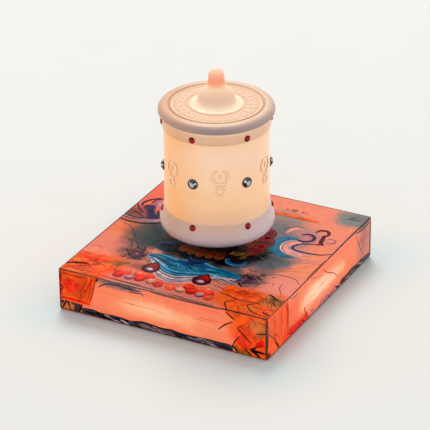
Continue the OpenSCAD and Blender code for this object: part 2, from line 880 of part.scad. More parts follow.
// Bud that tapers from the bell's neck to a round tip
module finial() {
    waist_h = finial_h * 0.43;
    foot = [for (a = [0 : 30 : 180])
        [bud_r + (bell_neck_r - bud_r) * (1 + cos(a)) / 2, bell_top_z + waist_h * a / 180]];
    dome = [for (a = [15 : 15 : 90])
        [bud_r * cos(a), bell_top_z + waist_h + (finial_h - waist_h) * sin(a)]];
    color("lightsalmon")
        difference() {
            rotate_extrude() polygon(concat([[0, bell_top_z]], foot, dome));
            translate([0, 0, bell_top_z - 1]) cylinder(r = rod_r, h = 8);
        }
}

module tie_rod() {
    color("silver") translate([0, 0, lid_z - 3]) cylinder(r = rod_r, h = bell_top_z + 7 - lid_z + 3);
}

module tie_washer() {
    color("silver") tube(6, rod_r + 0.1, lid_z + 2, lid_z + 3);
}

module tie_nut() {
    color("silver") difference() {
        translate([0, 0, lid_z - 1.2]) cylinder(r = 4, h = 3.2, $fn = 6);
        translate([0, 0, lid_z - 2]) cylinder(r = rod_r, h = 6);
    }
}

base_cover();
top_diffuser();
base_tray();
rubber_feet();
tray_screws();
led_strips();
led_chips();
control_board();
board_chips();
board_screws();
usb_socket();
tact_switch();
power_button();
battery_pack();
battery_strap();
strap_screws();
motor_bracket();
bracket_screws();
motor_body();
motor_shaft();
motor_pulley();
drive_belt();
drum_pulley();
bearing_housing();
collar_nut();
bearing_outer_rings();
bearing_inner_rings();
bearing_balls();
spindle();
lamp_post();
post_screws();
lamp_socket();
led_column();
column_chips();
lamp_diffuser();
wire_loom();
drum_foot();
drum_hub();
hub_screws();
drum_wall();
scroll_sleeve();
upper_band();
drum_ornaments();
stud_settings();
crystal_studs();
upper_studs();
lower_studs();
lid_shell();
lid_locator();
lid_inlay();
lid_bell();
finial();
tie_rod();
tie_washer();
tie_nut();
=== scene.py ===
"""A lit prayer-wheel lamp: a glowing drum on a spindle above a printed light-box base."""
import json
import math
import random
from collections import defaultdict

import bmesh
import bpy
from mathutils import Matrix, Vector


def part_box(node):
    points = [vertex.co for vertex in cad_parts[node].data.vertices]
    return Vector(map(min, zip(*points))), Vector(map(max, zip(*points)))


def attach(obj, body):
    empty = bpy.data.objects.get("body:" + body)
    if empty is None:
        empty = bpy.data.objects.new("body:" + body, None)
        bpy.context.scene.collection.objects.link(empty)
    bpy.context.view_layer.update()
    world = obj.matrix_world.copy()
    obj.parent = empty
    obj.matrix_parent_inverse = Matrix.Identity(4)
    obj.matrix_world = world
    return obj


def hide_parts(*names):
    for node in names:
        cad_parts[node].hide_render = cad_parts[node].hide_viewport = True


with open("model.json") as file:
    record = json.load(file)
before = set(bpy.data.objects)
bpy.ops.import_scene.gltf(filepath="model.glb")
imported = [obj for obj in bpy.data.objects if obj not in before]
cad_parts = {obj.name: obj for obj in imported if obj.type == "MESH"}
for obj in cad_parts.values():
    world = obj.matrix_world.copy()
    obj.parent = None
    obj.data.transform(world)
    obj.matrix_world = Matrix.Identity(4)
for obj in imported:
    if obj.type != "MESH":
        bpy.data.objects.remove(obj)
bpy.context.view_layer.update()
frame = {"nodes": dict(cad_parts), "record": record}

MM = 0.001
TAU = 2 * math.pi


# ---- sizes in millimetres: places come from the frame, and thicknesses and angles are set here ----

def box_mm(node):
    low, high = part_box(node)
    return low / MM, high / MM


def middle(node, axis):
    low, high = box_mm(node)
    return (getattr(low, axis) + getattr(high, axis)) / 2


COVER_LOW, COVER_HIGH = box_mm("base_cover")
HALF_W = COVER_HIGH.x
HALF_D = COVER_HIGH.y
TOP = COVER_HIGH.z
SKIRT = COVER_LOW.z
COVER_WALL = 4
PRINT_INSET = 0.3
PAINT_MARGIN = 0.8
PAINT_LOW, PAINT_HIGH = SKIRT + 0.3, TOP - 0.6
FOOT_LOW, FOOT_HIGH = box_mm("drum_foot")
WALL_LOW, WALL_HIGH = box_mm("drum_wall")
BAND_LOW, BAND_HIGH = box_mm("upper_band")
LID_LOW, LID_HIGH = box_mm("lid_shell")
BELL_LOW, BELL_HIGH = box_mm("lid_bell")
BUD_HIGH = box_mm("finial")[1]
DRUM_R = WALL_HIGH.x
STUDS = 6
STUD_PITCH = 360 / STUDS
STUD_TURN = 1
SEAT_R = DRUM_R - 0.8
# The direction on the ground that runs from left to right in the view, along which the drum's sides get
# painted light
VIEW_ACROSS = (0.885, 0.465)
GLOSS = {"Roughness": 0.3, "Specular_IOR_Level": 0.3}
PRINT_GLOSS = {"Roughness": 0.3, "Specular_IOR_Level": 0.08}


# ---- colour ----

def rgb(red, green, blue):
    """Linear colour from the usual 0 to 255 screen values."""
    def linear(value):
        part = value / 255
        return part / 12.92 if part <= 0.04045 else ((part + 0.055) / 1.055) ** 2.4
    return (linear(red), linear(green), linear(blue), 1.0)


def dim(colour, factor):
    return tuple(part * factor for part in colour[:3]) + (1.0,)


class Look:
    """A node material with one Principled shader, and short calls for the nodes that feed it."""

    def __init__(self, name, **sockets):
        self.material = bpy.data.materials.new(name)
        self.material.use_nodes = True
        self.tree = self.material.node_tree
        self.shader = self.tree.nodes["Principled BSDF"]
        for socket, value in sockets.items():
            self.shader.inputs[socket.replace("_", " ")].default_value = value
        coordinates = self.tree.nodes.new("ShaderNodeTexCoord")
        scale = self.tree.nodes.new("ShaderNodeVectorMath")
        scale.operation = "SCALE"
        scale.inputs["Scale"].default_value = 1 / MM
        self.tree.links.new(coordinates.outputs["Object"], scale.inputs[0])
        self.place = scale.outputs[0]
        split = self.tree.nodes.new("ShaderNodeSeparateXYZ")
        self.tree.links.new(self.place, split.inputs[0])
        self.x, self.y, self.z = split.outputs

    def put(self, value, socket):
        if isinstance(value, bpy.types.NodeSocket):
            self.tree.links.new(value, socket)
        else:
            socket.default_value = value

    def math(self, operation, first, second=0.0):
        node = self.tree.nodes.new("ShaderNodeMath")
        node.operation = operation
        self.put(first, node.inputs[0])
        self.put(second, node.inputs[1])
        return node.outputs[0]

    def distance(self, first, second):
        squares = self.math("POWER", first, 2), self.math("POWER", second, 2)
        return self.math("SQRT", self.math("ADD", *squares))

    def remap(self, value, low, high, to_low=0.0, to_high=1.0, smooth=True):
        node = self.tree.nodes.new("ShaderNodeMapRange")
        node.interpolation_type = "SMOOTHSTEP" if smooth else "LINEAR"
        for index, entry in enumerate((value, low, high, to_low, to_high)):
            self.put(entry, node.inputs[index])
        return node.outputs[0]

    def stretched(self, stretch):
        node = self.tree.nodes.new("ShaderNodeVectorMath")
        node.operation = "MULTIPLY"
        self.tree.links.new(self.place, node.inputs[0])
        node.inputs[1].default_value = stretch
        return node.outputs[0]

    def noise(self, scale, detail=3.0, stretch=(1, 1, 1), roughness=0.55):
        """Noise from 0 to 1; scale is in features per millimetre."""
        node = self.tree.nodes.new("ShaderNodeTexNoise")
        node.inputs["Scale"].default_value = scale
        node.inputs["Detail"].default_value = detail
        node.inputs["Roughness"].default_value = roughness
        self.tree.links.new(self.stretched(stretch), node.inputs["Vector"])
        return node.outputs["Fac"]

    def mix(self, amount, first, second):
        node = self.tree.nodes.new("ShaderNodeMix")
        node.data_type = "RGBA"
        self.put(amount, node.inputs[0])
        self.put(first, node.inputs[6])
        self.put(second, node.inputs[7])
        return node.outputs[2]

    def ramp(self, value, stops):
        """Colour by a value in millimetres, through (place, colour) stops."""
        low, high = stops[0][0], stops[-1][0]
        node = self.tree.nodes.new("ShaderNodeValToRGB")
        self.put(self.remap(value, low, high, smooth=False), node.inputs[0])
        ramp = node.color_ramp
        ramp.interpolation = "EASE"
        while len(ramp.elements) < len(stops):
            ramp.elements.new(0.5)
        for element, (place, colour) in zip(ramp.elements, stops):
            element.position = (place - low) / (high - low)
            element.color = colour
        return node.outputs["Color"]

    def patch(self, u, v, centre, reach, wobble=None, core=0.25):
        """1 inside the core share of an ellipse, falling smoothly to 0 at its edge."""
        side = self.math("DIVIDE", self.math("SUBTRACT", u, centre[0]), reach[0])
        along = self.math("DIVIDE", self.math("SUBTRACT", v, centre[1]), reach[1])
        away = self.distance(side, along)
        if wobble is not None:
            away = self.math("ADD", away, wobble)
        return self.remap(away, 1.0, core)

    def scaled(self, colour, factor):
        node = self.tree.nodes.new("ShaderNodeVectorMath")
        node.operation = "SCALE"
        self.put(colour, node.inputs[0])
        self.put(factor, node.inputs["Scale"])
        return node.outputs[0]

    def bump(self, height, strength, distance=0.0002):
        node = self.tree.nodes.new("ShaderNodeBump")
        node.inputs["Strength"].default_value = strength
        node.inputs["Distance"].default_value = distance
        self.put(height, node.inputs["Height"])
        self.tree.links.new(node.outputs[0], self.shader.inputs["Normal"])

    def lit(self, colour, solid, glow):
        """Sets a colour that is partly reflected and partly shines through."""
        self.put(self.mix(solid, (0, 0, 0, 1), colour), self.shader.inputs["Base Color"])
        self.put(colour, self.shader.inputs["Emission Color"])
        self.shader.inputs["Emission Strength"].default_value = glow
        return self.material


# ---- meshes ----

def piece(name, verts, faces, body, slot, materials, indices=None, smooth_angle=35):
    """A closed mesh in millimetres that rides on a body."""
    mesh = bpy.data.meshes.new(name)
    mesh.from_pydata([(x * MM, y * MM, z * MM) for x, y, z in verts], [], faces)
    for material in materials:
        mesh.materials.append(material)
    if indices:
        mesh.polygons.foreach_set("material_index", indices)
    work = bmesh.new()
    work.from_mesh(mesh)
    bmesh.ops.remove_doubles(work, verts=work.verts, dist=1e-7)
    bmesh.ops.recalc_face_normals(work, faces=work.faces)
    work.to_mesh(mesh)
    work.free()
    mesh.polygons.foreach_set("use_smooth", [smooth_angle > 0] * len(mesh.polygons))
    if smooth_angle > 0:
        mesh.set_sharp_from_angle(angle=math.radians(smooth_angle))
    made = bpy.data.objects.new(name, mesh)
    bpy.context.scene.collection.objects.link(made)
    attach(made, body)
    return made


def lathe(profile, segments=192):
    """Verts and faces of a closed (radius, height) outline turned about Z."""
    verts = []
    faces = []
    count = len(profile)
    for step in range(segments):
        angle = TAU * step / segments
        verts += [(r * math.cos(angle), r * math.sin(angle), z) for r, z in profile]
    for step in range(segments):
        here = step * count
        there = (step + 1) % segments * count
        for k in range(count):
            n = (k + 1) % count
            if profile[k][0] < 1e-6 and profile[n][0] < 1e-6:
                continue
            faces.append((here + k, there + k, there + n, here + n))
    return verts, faces


def bend(centre, reach, start, stop, steps=8):
    """Points on an ellipse arc, angles in degrees."""
    points = []
    for step in range(steps + 1):
        angle = math.radians(start + (stop - start) * step / steps)
        points.append((centre[0] + reach[0] * math.cos(angle), centre[1] + reach[1] * math.sin(angle)))
    return points


def curve(points, closed=False, steps=7):
    """A smooth curve through the points."""
    count = len(points)
    spans = count if closed else count - 1
    made = []
    for span in range(spans):
        if closed:
            a, b, c, d = (points[(span + k) % count] for k in (-1, 0, 1, 2))
        else:
            a, b, c, d = (points[min(max(span + k, 0), count - 1)] for k in (-1, 0, 1, 2))
        for step in range(steps):
            t = step / steps
            made.append(tuple(
                0.5 * (2 * q + (r - p) * t + (2 * p - 5 * q + 4 * r - s) * t * t
                       + (3 * q - p - 3 * r + s) * t ** 3)
                for p, q, r, s in zip(a, b, c, d)))
    if not closed:
        made.append(tuple(points[-1]))
    return made


# Surfaces: each turns a place on one face (u across, v up or back, h outwards) into a point

def held(value, low, high):
    """Keeps paint on its face."""
    return min(max(value, low), high)


def on_width(value, half):
    return held(value, PAINT_MARGIN - half, half - PAINT_MARGIN)


def on_top(u, v, h):
    return (on_width(u, HALF_W), on_width(v, HALF_D), TOP + h)


def on_front(u, v, h):
    return (on_width(u, HALF_W), PRINT_INSET - HALF_D - h, held(v, PAINT_LOW, PAINT_HIGH))


def on_right(u, v, h):
    return (HALF_W - PRINT_INSET + h, on_width(u, HALF_D), held(v, PAINT_LOW, PAINT_HIGH))


def on_back(u, v, h):
    x, y, z = on_front(u, v, h)
    return (-x, -y, z)


def on_left(u, v, h):
    x, y, z = on_right(u, v, h)
    return (-x, -y, z)


def on_drum(radius, turn, height, tilt=0.0):
    """A cylinder patch centred at an angle in degrees and at a height, leaning back by a tilt."""
    lean_cos, lean_sin = math.cos(math.radians(tilt)), math.sin(math.radians(tilt))

    def place(u, v, h):
        angle = math.radians(turn) + u / radius
        reach = radius + h * lean_cos - v * lean_sin
        return (reach * math.cos(angle), reach * math.sin(angle), height + v * lean_cos + h * lean_sin)
    return place


def on_disc(turn, height):
    """A flat ring patch: v is the radius and u runs along the ring."""
    def place(u, v, h):
        angle = math.radians(turn) + u / max(v, 1)
        return (v * math.cos(angle), v * math.sin(angle), height + h)
    return place


class Shapes:
    """Collects closed shapes that end up in one mesh."""

    def __init__(self):
        self.verts = []
        self.faces = []

    def add(self, verts, faces):
        start = len(self.verts)
        self.verts += verts
        self.faces += [tuple(start + i for i in face) for face in faces]

    def band(self, surface, path, widths, section, closed=False):
        """Sweeps a section, points of (side, height), along a path of (u, v)."""
        count = len(path)
        size = len(section)
        verts = []
        for i, (u, v) in enumerate(path):
            before = path[(i - 1) % count] if closed else path[max(i - 1, 0)]
            after = path[(i + 1) % count] if closed else path[min(i + 1, count - 1)]
            du, dv = after[0] - before[0], after[1] - before[1]
            long = math.hypot(du, dv) or 1.0
            nu, nv = -dv / long, du / long
            half = widths[i] / 2
            verts += [surface(u + nu * side * half, v + nv * side * half, h) for side, h in section]
        faces = []
        for i in range(count if closed else count - 1):
            here, there = i * size, (i + 1) % count * size
            faces += [(here + k, here + (k + 1) % size, there + (k + 1) % size,
                       there + k) for k in range(size)]
        if not closed:
            faces += [tuple(range(size)), tuple((count - 1) * size + k for k in range(size))]
        self.add(verts, faces)

    def fill(self, surface, outline, top, bottom):
        """A flat plate with the given outline."""
        count = len(outline)
        verts = [surface(u, v, top) for u, v in outline] + [surface(u, v, bottom) for u, v in outline]
        faces = [tuple(range(count)), tuple(reversed(range(count, 2 * count)))]
        faces += [(k, (k + 1) % count, count + (k + 1) % count, count + k) for k in range(count)]
        self.add(verts, faces)


# ---- printed picture: flat inks in layers, whose motifs are placed one by one in millimetres ----

# Each layer stands this much higher than the one under it, and all of them start inside the cover
INK_STEP = 0.022
INK_SINK = -0.05
INKS = {
    "black": (8, 4, 6), "brown": (74, 28, 10), "navy": (16, 20, 64), "blue": (12, 78, 124),
    "teal": (14, 112, 146), "sky": (70, 158, 186), "lilac": (180, 150, 162), "white": (226, 204, 198),
    "grey": (108, 94, 94), "slate": (48, 58, 66), "smoke": (72, 48, 52), "maroon": (84, 4, 8),
    "dark_red": (132, 8, 8), "red": (244, 20, 8), "vermilion": (255, 50, 18), "coral": (254, 72, 36),
    "orange": (255, 88, 14), "amber": (242, 126, 54), "beige": (228, 134, 104), "pink": (244, 146, 130),
    "mauve": (186, 108, 118), "purple": (66, 28, 70), "ochre": (168, 92, 20), "gold": (136, 88, 22),
    "rust": (206, 50, 12), "tan": (214, 112, 52),
}
art = defaultdict(Shapes)


def ribbon(ink, surface, points, width, layer, taper=(0.15, 0.15), closed=False, steps=7):
    """A painted stroke, thinner towards its ends by the taper shares."""
    path = curve(points, closed, steps)
    last = len(path) - 1
    widths = []
    for i in range(len(path)):
        share = i / last
        swell = 1.0 if closed else math.sin(math.pi * min(max(share, 0.02), 0.98)) ** 0.5
        ends = taper[0] * (1 - share) + taper[1] * share
        widths.append(width * (1.0 if closed else ends + (1 - ends) * swell))
    top = layer * INK_STEP
    art[ink].band(surface, path, widths, [(-1, INK_SINK), (-1, top), (1, top), (1, INK_SINK)], closed)


def shape(ink, surface, outline, layer, smooth=True, steps=5):
    path = curve(outline, True, steps) if smooth else outline
    art[ink].fill(surface, path, layer * INK_STEP, INK_SINK)


def oval(centre, across, up, turn=0, count=20, wobble=0.0, seed=0):
    """Outline of an ellipse, a little uneven when wobble is above 0."""
    rand = random.Random(seed)
    made = []
    for k in range(count):
        angle = TAU * k / count
        size = 1 + wobble * (rand.random() - 0.5)
        u, v = across * size * math.cos(angle), up * size * math.sin(angle)
        c, s = math.cos(math.radians(turn)), math.sin(math.radians(turn))
        made.append((centre[0] + u * c - v * s, centre[1] + u * s + v * c))
    return made


def drop(centre, across, up, turn=0):
    """Outline of a flame or petal: round below, pointed above."""
    made = []
    for k in range(16):
        angle = TAU * k / 16 - math.pi / 2
        u = across * math.cos(angle) * (1 - max(math.sin(angle), 0) ** 2 * 0.75)
        v = up * (math.sin(angle) if math.sin(angle) < 0 else 1.5 * math.sin(angle) ** 1.2)
        c, s = math.cos(math.radians(turn)), math.sin(math.radians(turn))
        made.append((centre[0] + u * c - v * s, centre[1] + u * s + v * c))
    return made


def strands(surface, upper, lower, inks, width, layer, start=0.0, stop=1.0, seed=1):
    """Flowing lines spaced between two guide curves that have the same number of points."""
    rand = random.Random(seed)
    for k, ink in enumerate(inks):
        share = start + (stop - start) * k / max(len(inks) - 1, 1)
        line = [(a[0] + (b[0] - a[0]) * share + rand.uniform(-0.5, 0.5),
                 a[1] + (b[1] - a[1]) * share + rand.uniform(-0.6, 0.6)) for a, b in zip(upper, lower)]
        ribbon(ink, surface, line, width * rand.uniform(0.7, 1.3), layer + k % 3)


def flame_jewel(surface, u, v, size):
    """A pointed flame round a ringed stone."""
    shape("black", surface, drop((u, v), 0.52 * size, 0.52 * size), 9, steps=4)
    shape("maroon", surface, drop((u, v), 0.47 * size, 0.47 * size), 10, steps=4)
    shape("dark_red", surface, drop((u + 0.03 * size, v + 0.12 * size), 0.30 * size, 0.34 * size), 11,
          steps=4)
    shape("purple", surface, oval((u, v - 0.16 * size), 0.33 * size, 0.27 * size), 12, steps=2)
    shape("mauve", surface, oval((u, v - 0.14 * size), 0.23 * size, 0.17 * size), 13, steps=2)
    shape("white", surface, oval((u + 0.01 * size, v - 0.13 * size), 0.15 * size, 0.10 * size), 14, steps=2)
    for lean in (-0.2, 0.04, 0.26):
        ribbon("red", surface,
               [(u + lean * size, v + 0.16 * size), (u + (lean * 0.6 + 0.04) * size, v + 0.34 * size),
                                (u + lean * 0.2 * size, v + 0.6 * size)], 0.045 * size, 12)


def coin(surface, u, v, radius, ink, turn=0):
    """One flat bead in a heap: a darker edge below, a rim and a lighter face."""
    rim = {"red": "dark_red", "vermilion": "dark_red", "coral": "rust", "beige": "smoke",
           "mauve": "purple"}[ink]
    shape(rim, surface, oval((u + 0.2, v - radius * 0.28), radius * 1.04, radius * 0.96, turn), 6, steps=2)
    shape(ink, surface, oval((u, v), radius, radius * 0.9, turn), 8, steps=2)
    ribbon(rim, surface, bend((u, v), (radius * 0.9, radius * 0.8), 200, 350, 6), radius * 0.14, 9, steps=3)
    shine = "beige" if ink in ("coral", "mauve") else "pink" if ink == "beige" else "coral"
    shape(shine, surface, oval((u - radius * 0.1, v + radius * 0.3), radius * 0.5, radius * 0.3, turn), 9,
          steps=2)


def brushwork(surface, ink, centre, spread, count, length, width, layer, seed, lean=None):
    """Loose strokes scattered over a patch, for smoke, bark and rock."""
    rand = random.Random(seed)
    for _ in range(count):
        u = centre[0] + spread[0] * rand.gauss(0, 0.42)
        v = centre[1] + spread[1] * rand.gauss(0, 0.42)
        angle = math.radians(rand.uniform(0, 360) if lean is None else rand.gauss(lean, 20))
        reach = length * rand.uniform(0.4, 1.3)
        du, dv = math.cos(angle) * reach / 2, math.sin(angle) * reach / 2
        sag = rand.uniform(-0.35, 0.35)
        ribbon(ink, surface, [(u - du, v - dv), (u - dv * sag, v + du * sag), (u + du, v + dv)],
               width * rand.uniform(0.5, 1.4), layer + rand.randrange(2), steps=4)


def waterfall(surface):
    """The pool in the middle: blue water that curls down between two banks, with pale and dark lines."""
    upper = [(-42, -45), (-34, -42), (-26, -41), (-15, -43), (-6, -39), (4, -37), (16, -41), (30, -43),
             (45, -46)]
    lower = [(-42, -52), (-35, -59), (-28, -67), (-19, -78), (-5, -83), (8, -78), (16, -69), (28, -61),
             (46, -56)]

    def between(share):
        return [(a[0] + (b[0] - a[0]) * share, a[1] + (b[1] - a[1]) * share) for a, b in zip(upper, lower)]
    shape("lilac", surface, curve(upper) + list(reversed(curve(lower))), 2, smooth=False)
    shape("sky", surface, curve(upper) + list(reversed(curve(between(0.76)))), 3, smooth=False)
    shape("teal", surface, curve(upper) + list(reversed(curve(between(0.66)))), 4, smooth=False)
    strands(surface, upper, lower,
            ["sky", "teal", "blue", "sky", "teal", "navy", "blue", "teal", "sky", "blue"],
            1.9, 5, 0.04, 0.62, 3)
    strands(surface, upper, lower,
            ["sky", "navy", "white", "blue", "mauve", "white", "navy", "lilac", "purple", "white"],
            0.9, 6, 0.66, 1.0, 4)
    shape("blue", surface, [(-14, -44), (-4, -42), (8, -41), (16, -44), (10, -50), (-2, -52), (-12, -49)], 8)
    brushwork(surface, "navy", (0, -47), (22, 4), 14, 9, 0.7, 9, 5, -8)
    brushwork(surface, "sky", (2, -55), (22, 7), 18, 10, 0.6, 9, 6, -14)
    for k in range(6):
        centre = (-32 + 2.6 * k, -50 - 1.4 * k)
        ribbon("white", surface, bend(centre, (3.4, 2.2), 150, 300, 6), 0.6, 9, steps=3)
    shape("teal", surface, [(24, -43), (34, -43), (45, -46), (50, -51), (46, -54), (34, -53), (25, -51)], 7)
    for k in range(4):
        lift = 1.7 * k
        ribbon(("white", "slate", "sky", "grey")[k], surface,
               [(20, -56 - lift), (29, -56.5 - lift), (38, -58 - lift), (49, -61 - lift * 0.7)], 0.8, 8)
    ribbon("navy", surface, [(-41, -52), (-35, -58), (-28, -66), (-22, -73)], 0.9, 8)


def petals_round(surface):
    """Scalloped petals in a ring behind and beside the drum, and a gilt seat in front of it over a black
    painted shadow under the drum.
    """
    centre = (-2, 12)
    for row, (reach, across, up, ink, vein) in enumerate((
            ((38, 38), 10.5, 10, "dark_red", "black"), ((30, 29), 9.5, 8, "dark_red", "maroon"))):
        for k in range(10):
            turn = -16 + 24 * k + 10 * row
            angle = math.radians(turn)
            spot = (centre[0] + reach[0] * math.cos(angle), centre[1] + reach[1] * math.sin(angle))
            shape("black", surface, oval(spot, up + 0.7, across + 0.7, turn), 5 + row, steps=3)
            shape(ink, surface, oval(spot, up, across, turn), 7 + row, steps=3)
            for lean in (-0.5, 0.0, 0.5):
                away = (math.cos(angle + lean * 0.5), math.sin(angle + lean * 0.5))
                tip = (spot[0] + up * 0.8 * away[0], spot[1] + up * 0.8 * away[1])
                root = (spot[0] - up * 0.7 * math.cos(angle), spot[1] - up * 0.7 * math.sin(angle))
                ribbon(vein, surface,
                       [root, ((root[0] + tip[0]) / 2 + lean, (root[1] + tip[1]) / 2 + lean), tip],
                       0.8, 9 + row)
    for reach in (27, 30.5):
        ribbon("gold", surface, bend(centre, (reach + 2, reach), -30, 60, 10), 0.9, 12)
        ribbon("gold", surface, bend(centre, (reach + 2, reach), 120, 210, 10), 0.9, 12)
    # A black ellipse under the drum: painted shadow of the drum
    shape("black", surface, oval((-3, -4), 34, 17, wobble=0.1, seed=3), 11)
    for k in range(5):
        u = -20 + 8.6 * k
        drop_v = -22 - 2.5 * (1 - abs(k - 2) / 2)
        shape("black", surface, oval((u, drop_v), 5.8, 9.4), 11, steps=3)
        shape("brown", surface, oval((u, drop_v), 5, 8.4), 12, steps=3)
        ribbon("gold", surface, bend((u, drop_v), (3.8, 6.6), 190, 350, 6), 1.0, 13, steps=3)
        ribbon("rust", surface, bend((u, drop_v + 1), (2.4, 4.4), 200, 340, 5), 0.9, 13, steps=3)
    for u, v, size in ((-27, -16, 5), (18, -15, 6), (24, -9, 5)):
        shape("black", surface, oval((u, v), size, size * 0.8, 20), 12, steps=3)
    brushwork(surface, "gold", (28, -12), (9, 5), 26, 5, 1.3, 13, 13, 35)
    brushwork(surface, "black", (30, -11), (9, 5), 12, 4, 0.9, 14, 14, 120)
    shape("navy", surface,
          [(-11, -31), (-6, -36), (0, -37), (6, -35), (10, -31), (7, -41), (0, -44), (-8, -41)], 13)
    ribbon("blue", surface, bend((-0.5, -33), (8, 7), 190, 350, 8), 1.6, 14, steps=3)
    ribbon("black", surface, [(36, -12), (41, -8), (43, -12.5), (45, -6), (48, -4), (47.5, 1), (52, 3)], 2.6,
           12,
           (0.6, 0.3), steps=2)
    for centre_at, radius, start, stop, inks in (
            ((-36, -27), 7.5, 50, 325, ("navy", "black", "blue")),
            ((31, -24), 8.5, 170, 380, ("blue", "navy", "sky"))):
        arc = (radius, radius * 0.82)
        ribbon(inks[0], surface, bend(centre_at, arc, start, stop, 10), 4.6, 12, (0.35, 0.35), steps=3)
        ribbon(inks[1], surface, bend(centre_at, (arc[0] - 2.2, arc[1] - 2.2), start, stop, 10), 1.0, 13,
               steps=3)
        ribbon(inks[2], surface, bend(centre_at, (arc[0] + 1.6, arc[1] + 1.6), start + 10, stop - 30, 10),
               0.8, 13, steps=3)


def right_scroll(surface):
    """A broad curling ribbon of cloud with a ring, a hook and trailing lines."""
    ribbon("navy", surface, [(60, 37), (51, 33), (46, 24), (48, 12), (58, 4), (72, 3)], 8.2, 3, (0.15, 0.1))
    ribbon("teal", surface, [(60, 37), (51, 33), (46, 24), (48, 12), (58, 4), (72, 3)], 7.0, 4, (0.15, 0.1))
    ribbon("white", surface, [(62, 33), (55, 29), (52.5, 21), (55, 13), (63, 8), (78, 7)], 1.1, 6)
    ribbon("pink", surface, [(66, 31), (60, 28), (57, 21), (60, 14), (68, 10), (84, 11)], 5.2, 4, (0.3, 0.1))
    ribbon("lilac", surface, [(70, 29), (64, 26), (61, 21), (63, 16), (70, 13), (84, 14)], 3.2, 5, (0.3, 0.1))
    ribbon("navy", surface,
           [(84, 37), (76, 33), (67, 29), (62.5, 22), (66, 17), (76, 16), (90, 18), (99, 24)],
           2.4, 7, (0.2, 0.15))
    ribbon("purple", surface, [(60, 45), (66, 48.5), (72, 45), (72.5, 38), (66, 34), (60, 35)], 3.4, 7,
           (0.35, 0.2))
    ribbon("mauve", surface, [(61, 42), (66, 45), (69.5, 42), (68, 37.5)], 2.2, 6)
    ribbon("maroon", surface, [(69, 54), (72, 59.5), (78, 60), (81, 55), (79, 50)], 3.2, 8, (0.3, 0.4))
    ribbon("maroon", surface, [(78, 52), (80, 45), (81, 39), (85, 35)], 4.2, 8, (0.3, 0.1))
    ribbon("mauve", surface, [(84, 48), (90, 48), (92, 43), (87, 40), (84, 43)], 2.6, 7)
    ribbon("rust", surface, [(74, 33), (80, 33.5), (86, 35)], 1.2, 8)
    ribbon("grey", surface, [(57, 57), (49, 57), (43, 51), (41.5, 43), (46, 37)], 1.1, 8)
    ribbon("pink", surface, [(57, 54), (51, 53), (47, 48), (47, 42)], 4.0, 5)
    for lift in (0, 2.2, 4.6):
        ribbon(("mauve", "lilac", "mauve")[int(lift / 2.2)], surface,
               [(70, 2 - lift), (84, 3 - lift), (98, 8 - lift)], 0.7, 5)


def left_scroll(surface):
    """A dark hooked scroll whose tail sweeps out to the left edge."""
    shape("lilac", surface,
          [(-99, 8), (-86, 6), (-74, 7), (-64, 12), (-66, 17), (-76, 13), (-88, 11), (-99, 10)], 4)
    shape("mauve", surface, [(-92, 9), (-80, 8), (-68, 11), (-66, 15), (-78, 12)], 5)
    shape("purple", surface,
          [(-89, 32), (-86, 27), (-80, 18), (-77, 11), (-68, 14), (-66, 20), (-73, 22), (-78, 28),
                              (-80, 35), (-86, 37)], 6)
    shape("navy", surface, [(-83, 29), (-78, 19), (-73, 14), (-67, 18), (-74, 21), (-79, 28)], 7)
    for points, ink, width in (
            ([(-99.5, 2), (-88, 0.6), (-76, 1.6), (-66, 6), (-58, 13)], "black", 2.4),
            ([(-92, 30), (-94, 38), (-90, 46), (-84, 52)], "navy", 2.6),
            ([(-98, 34), (-93, 27), (-86, 21)], "purple", 2.0),
            ([(-70, 24), (-64, 26), (-58, 22), (-56, 15)], "navy", 2.2),
            ([(-99.5, 11), (-90, 9.6), (-82, 10.5), (-77, 12.5)], "black", 1.9),
            ([(-99, 8), (-90, 6.6), (-78, 8), (-70, 11)], "purple", 0.9),
            ([(-98, 22), (-90, 18), (-80, 12.5)], "black", 0.9),
            ([(-99, 16), (-91, 17), (-86, 22), (-94, 26)], "smoke", 0.8),
            ([(-88, 36), (-90, 31), (-86, 26)], "black", 1.2),
            ([(-74, 30), (-72, 24), (-66, 22), (-62, 26)], "black", 2.2)):
        ribbon(ink, surface, points, width, 8)
    shape("mauve", surface, [(-86, 40), (-85, 47), (-79, 51), (-72, 50), (-72, 42), (-76, 34), (-81, 35)], 5)
    ribbon("maroon", surface, [(-87, 39), (-86, 47), (-79, 52), (-72, 50)], 2.0, 7)
    ribbon("black", surface, [(-76, 34), (-73, 40), (-70, 46)], 1.8, 8)
    shape("pink", surface, oval((-78, 42), 3.6, 4.6, 20), 6, steps=2)


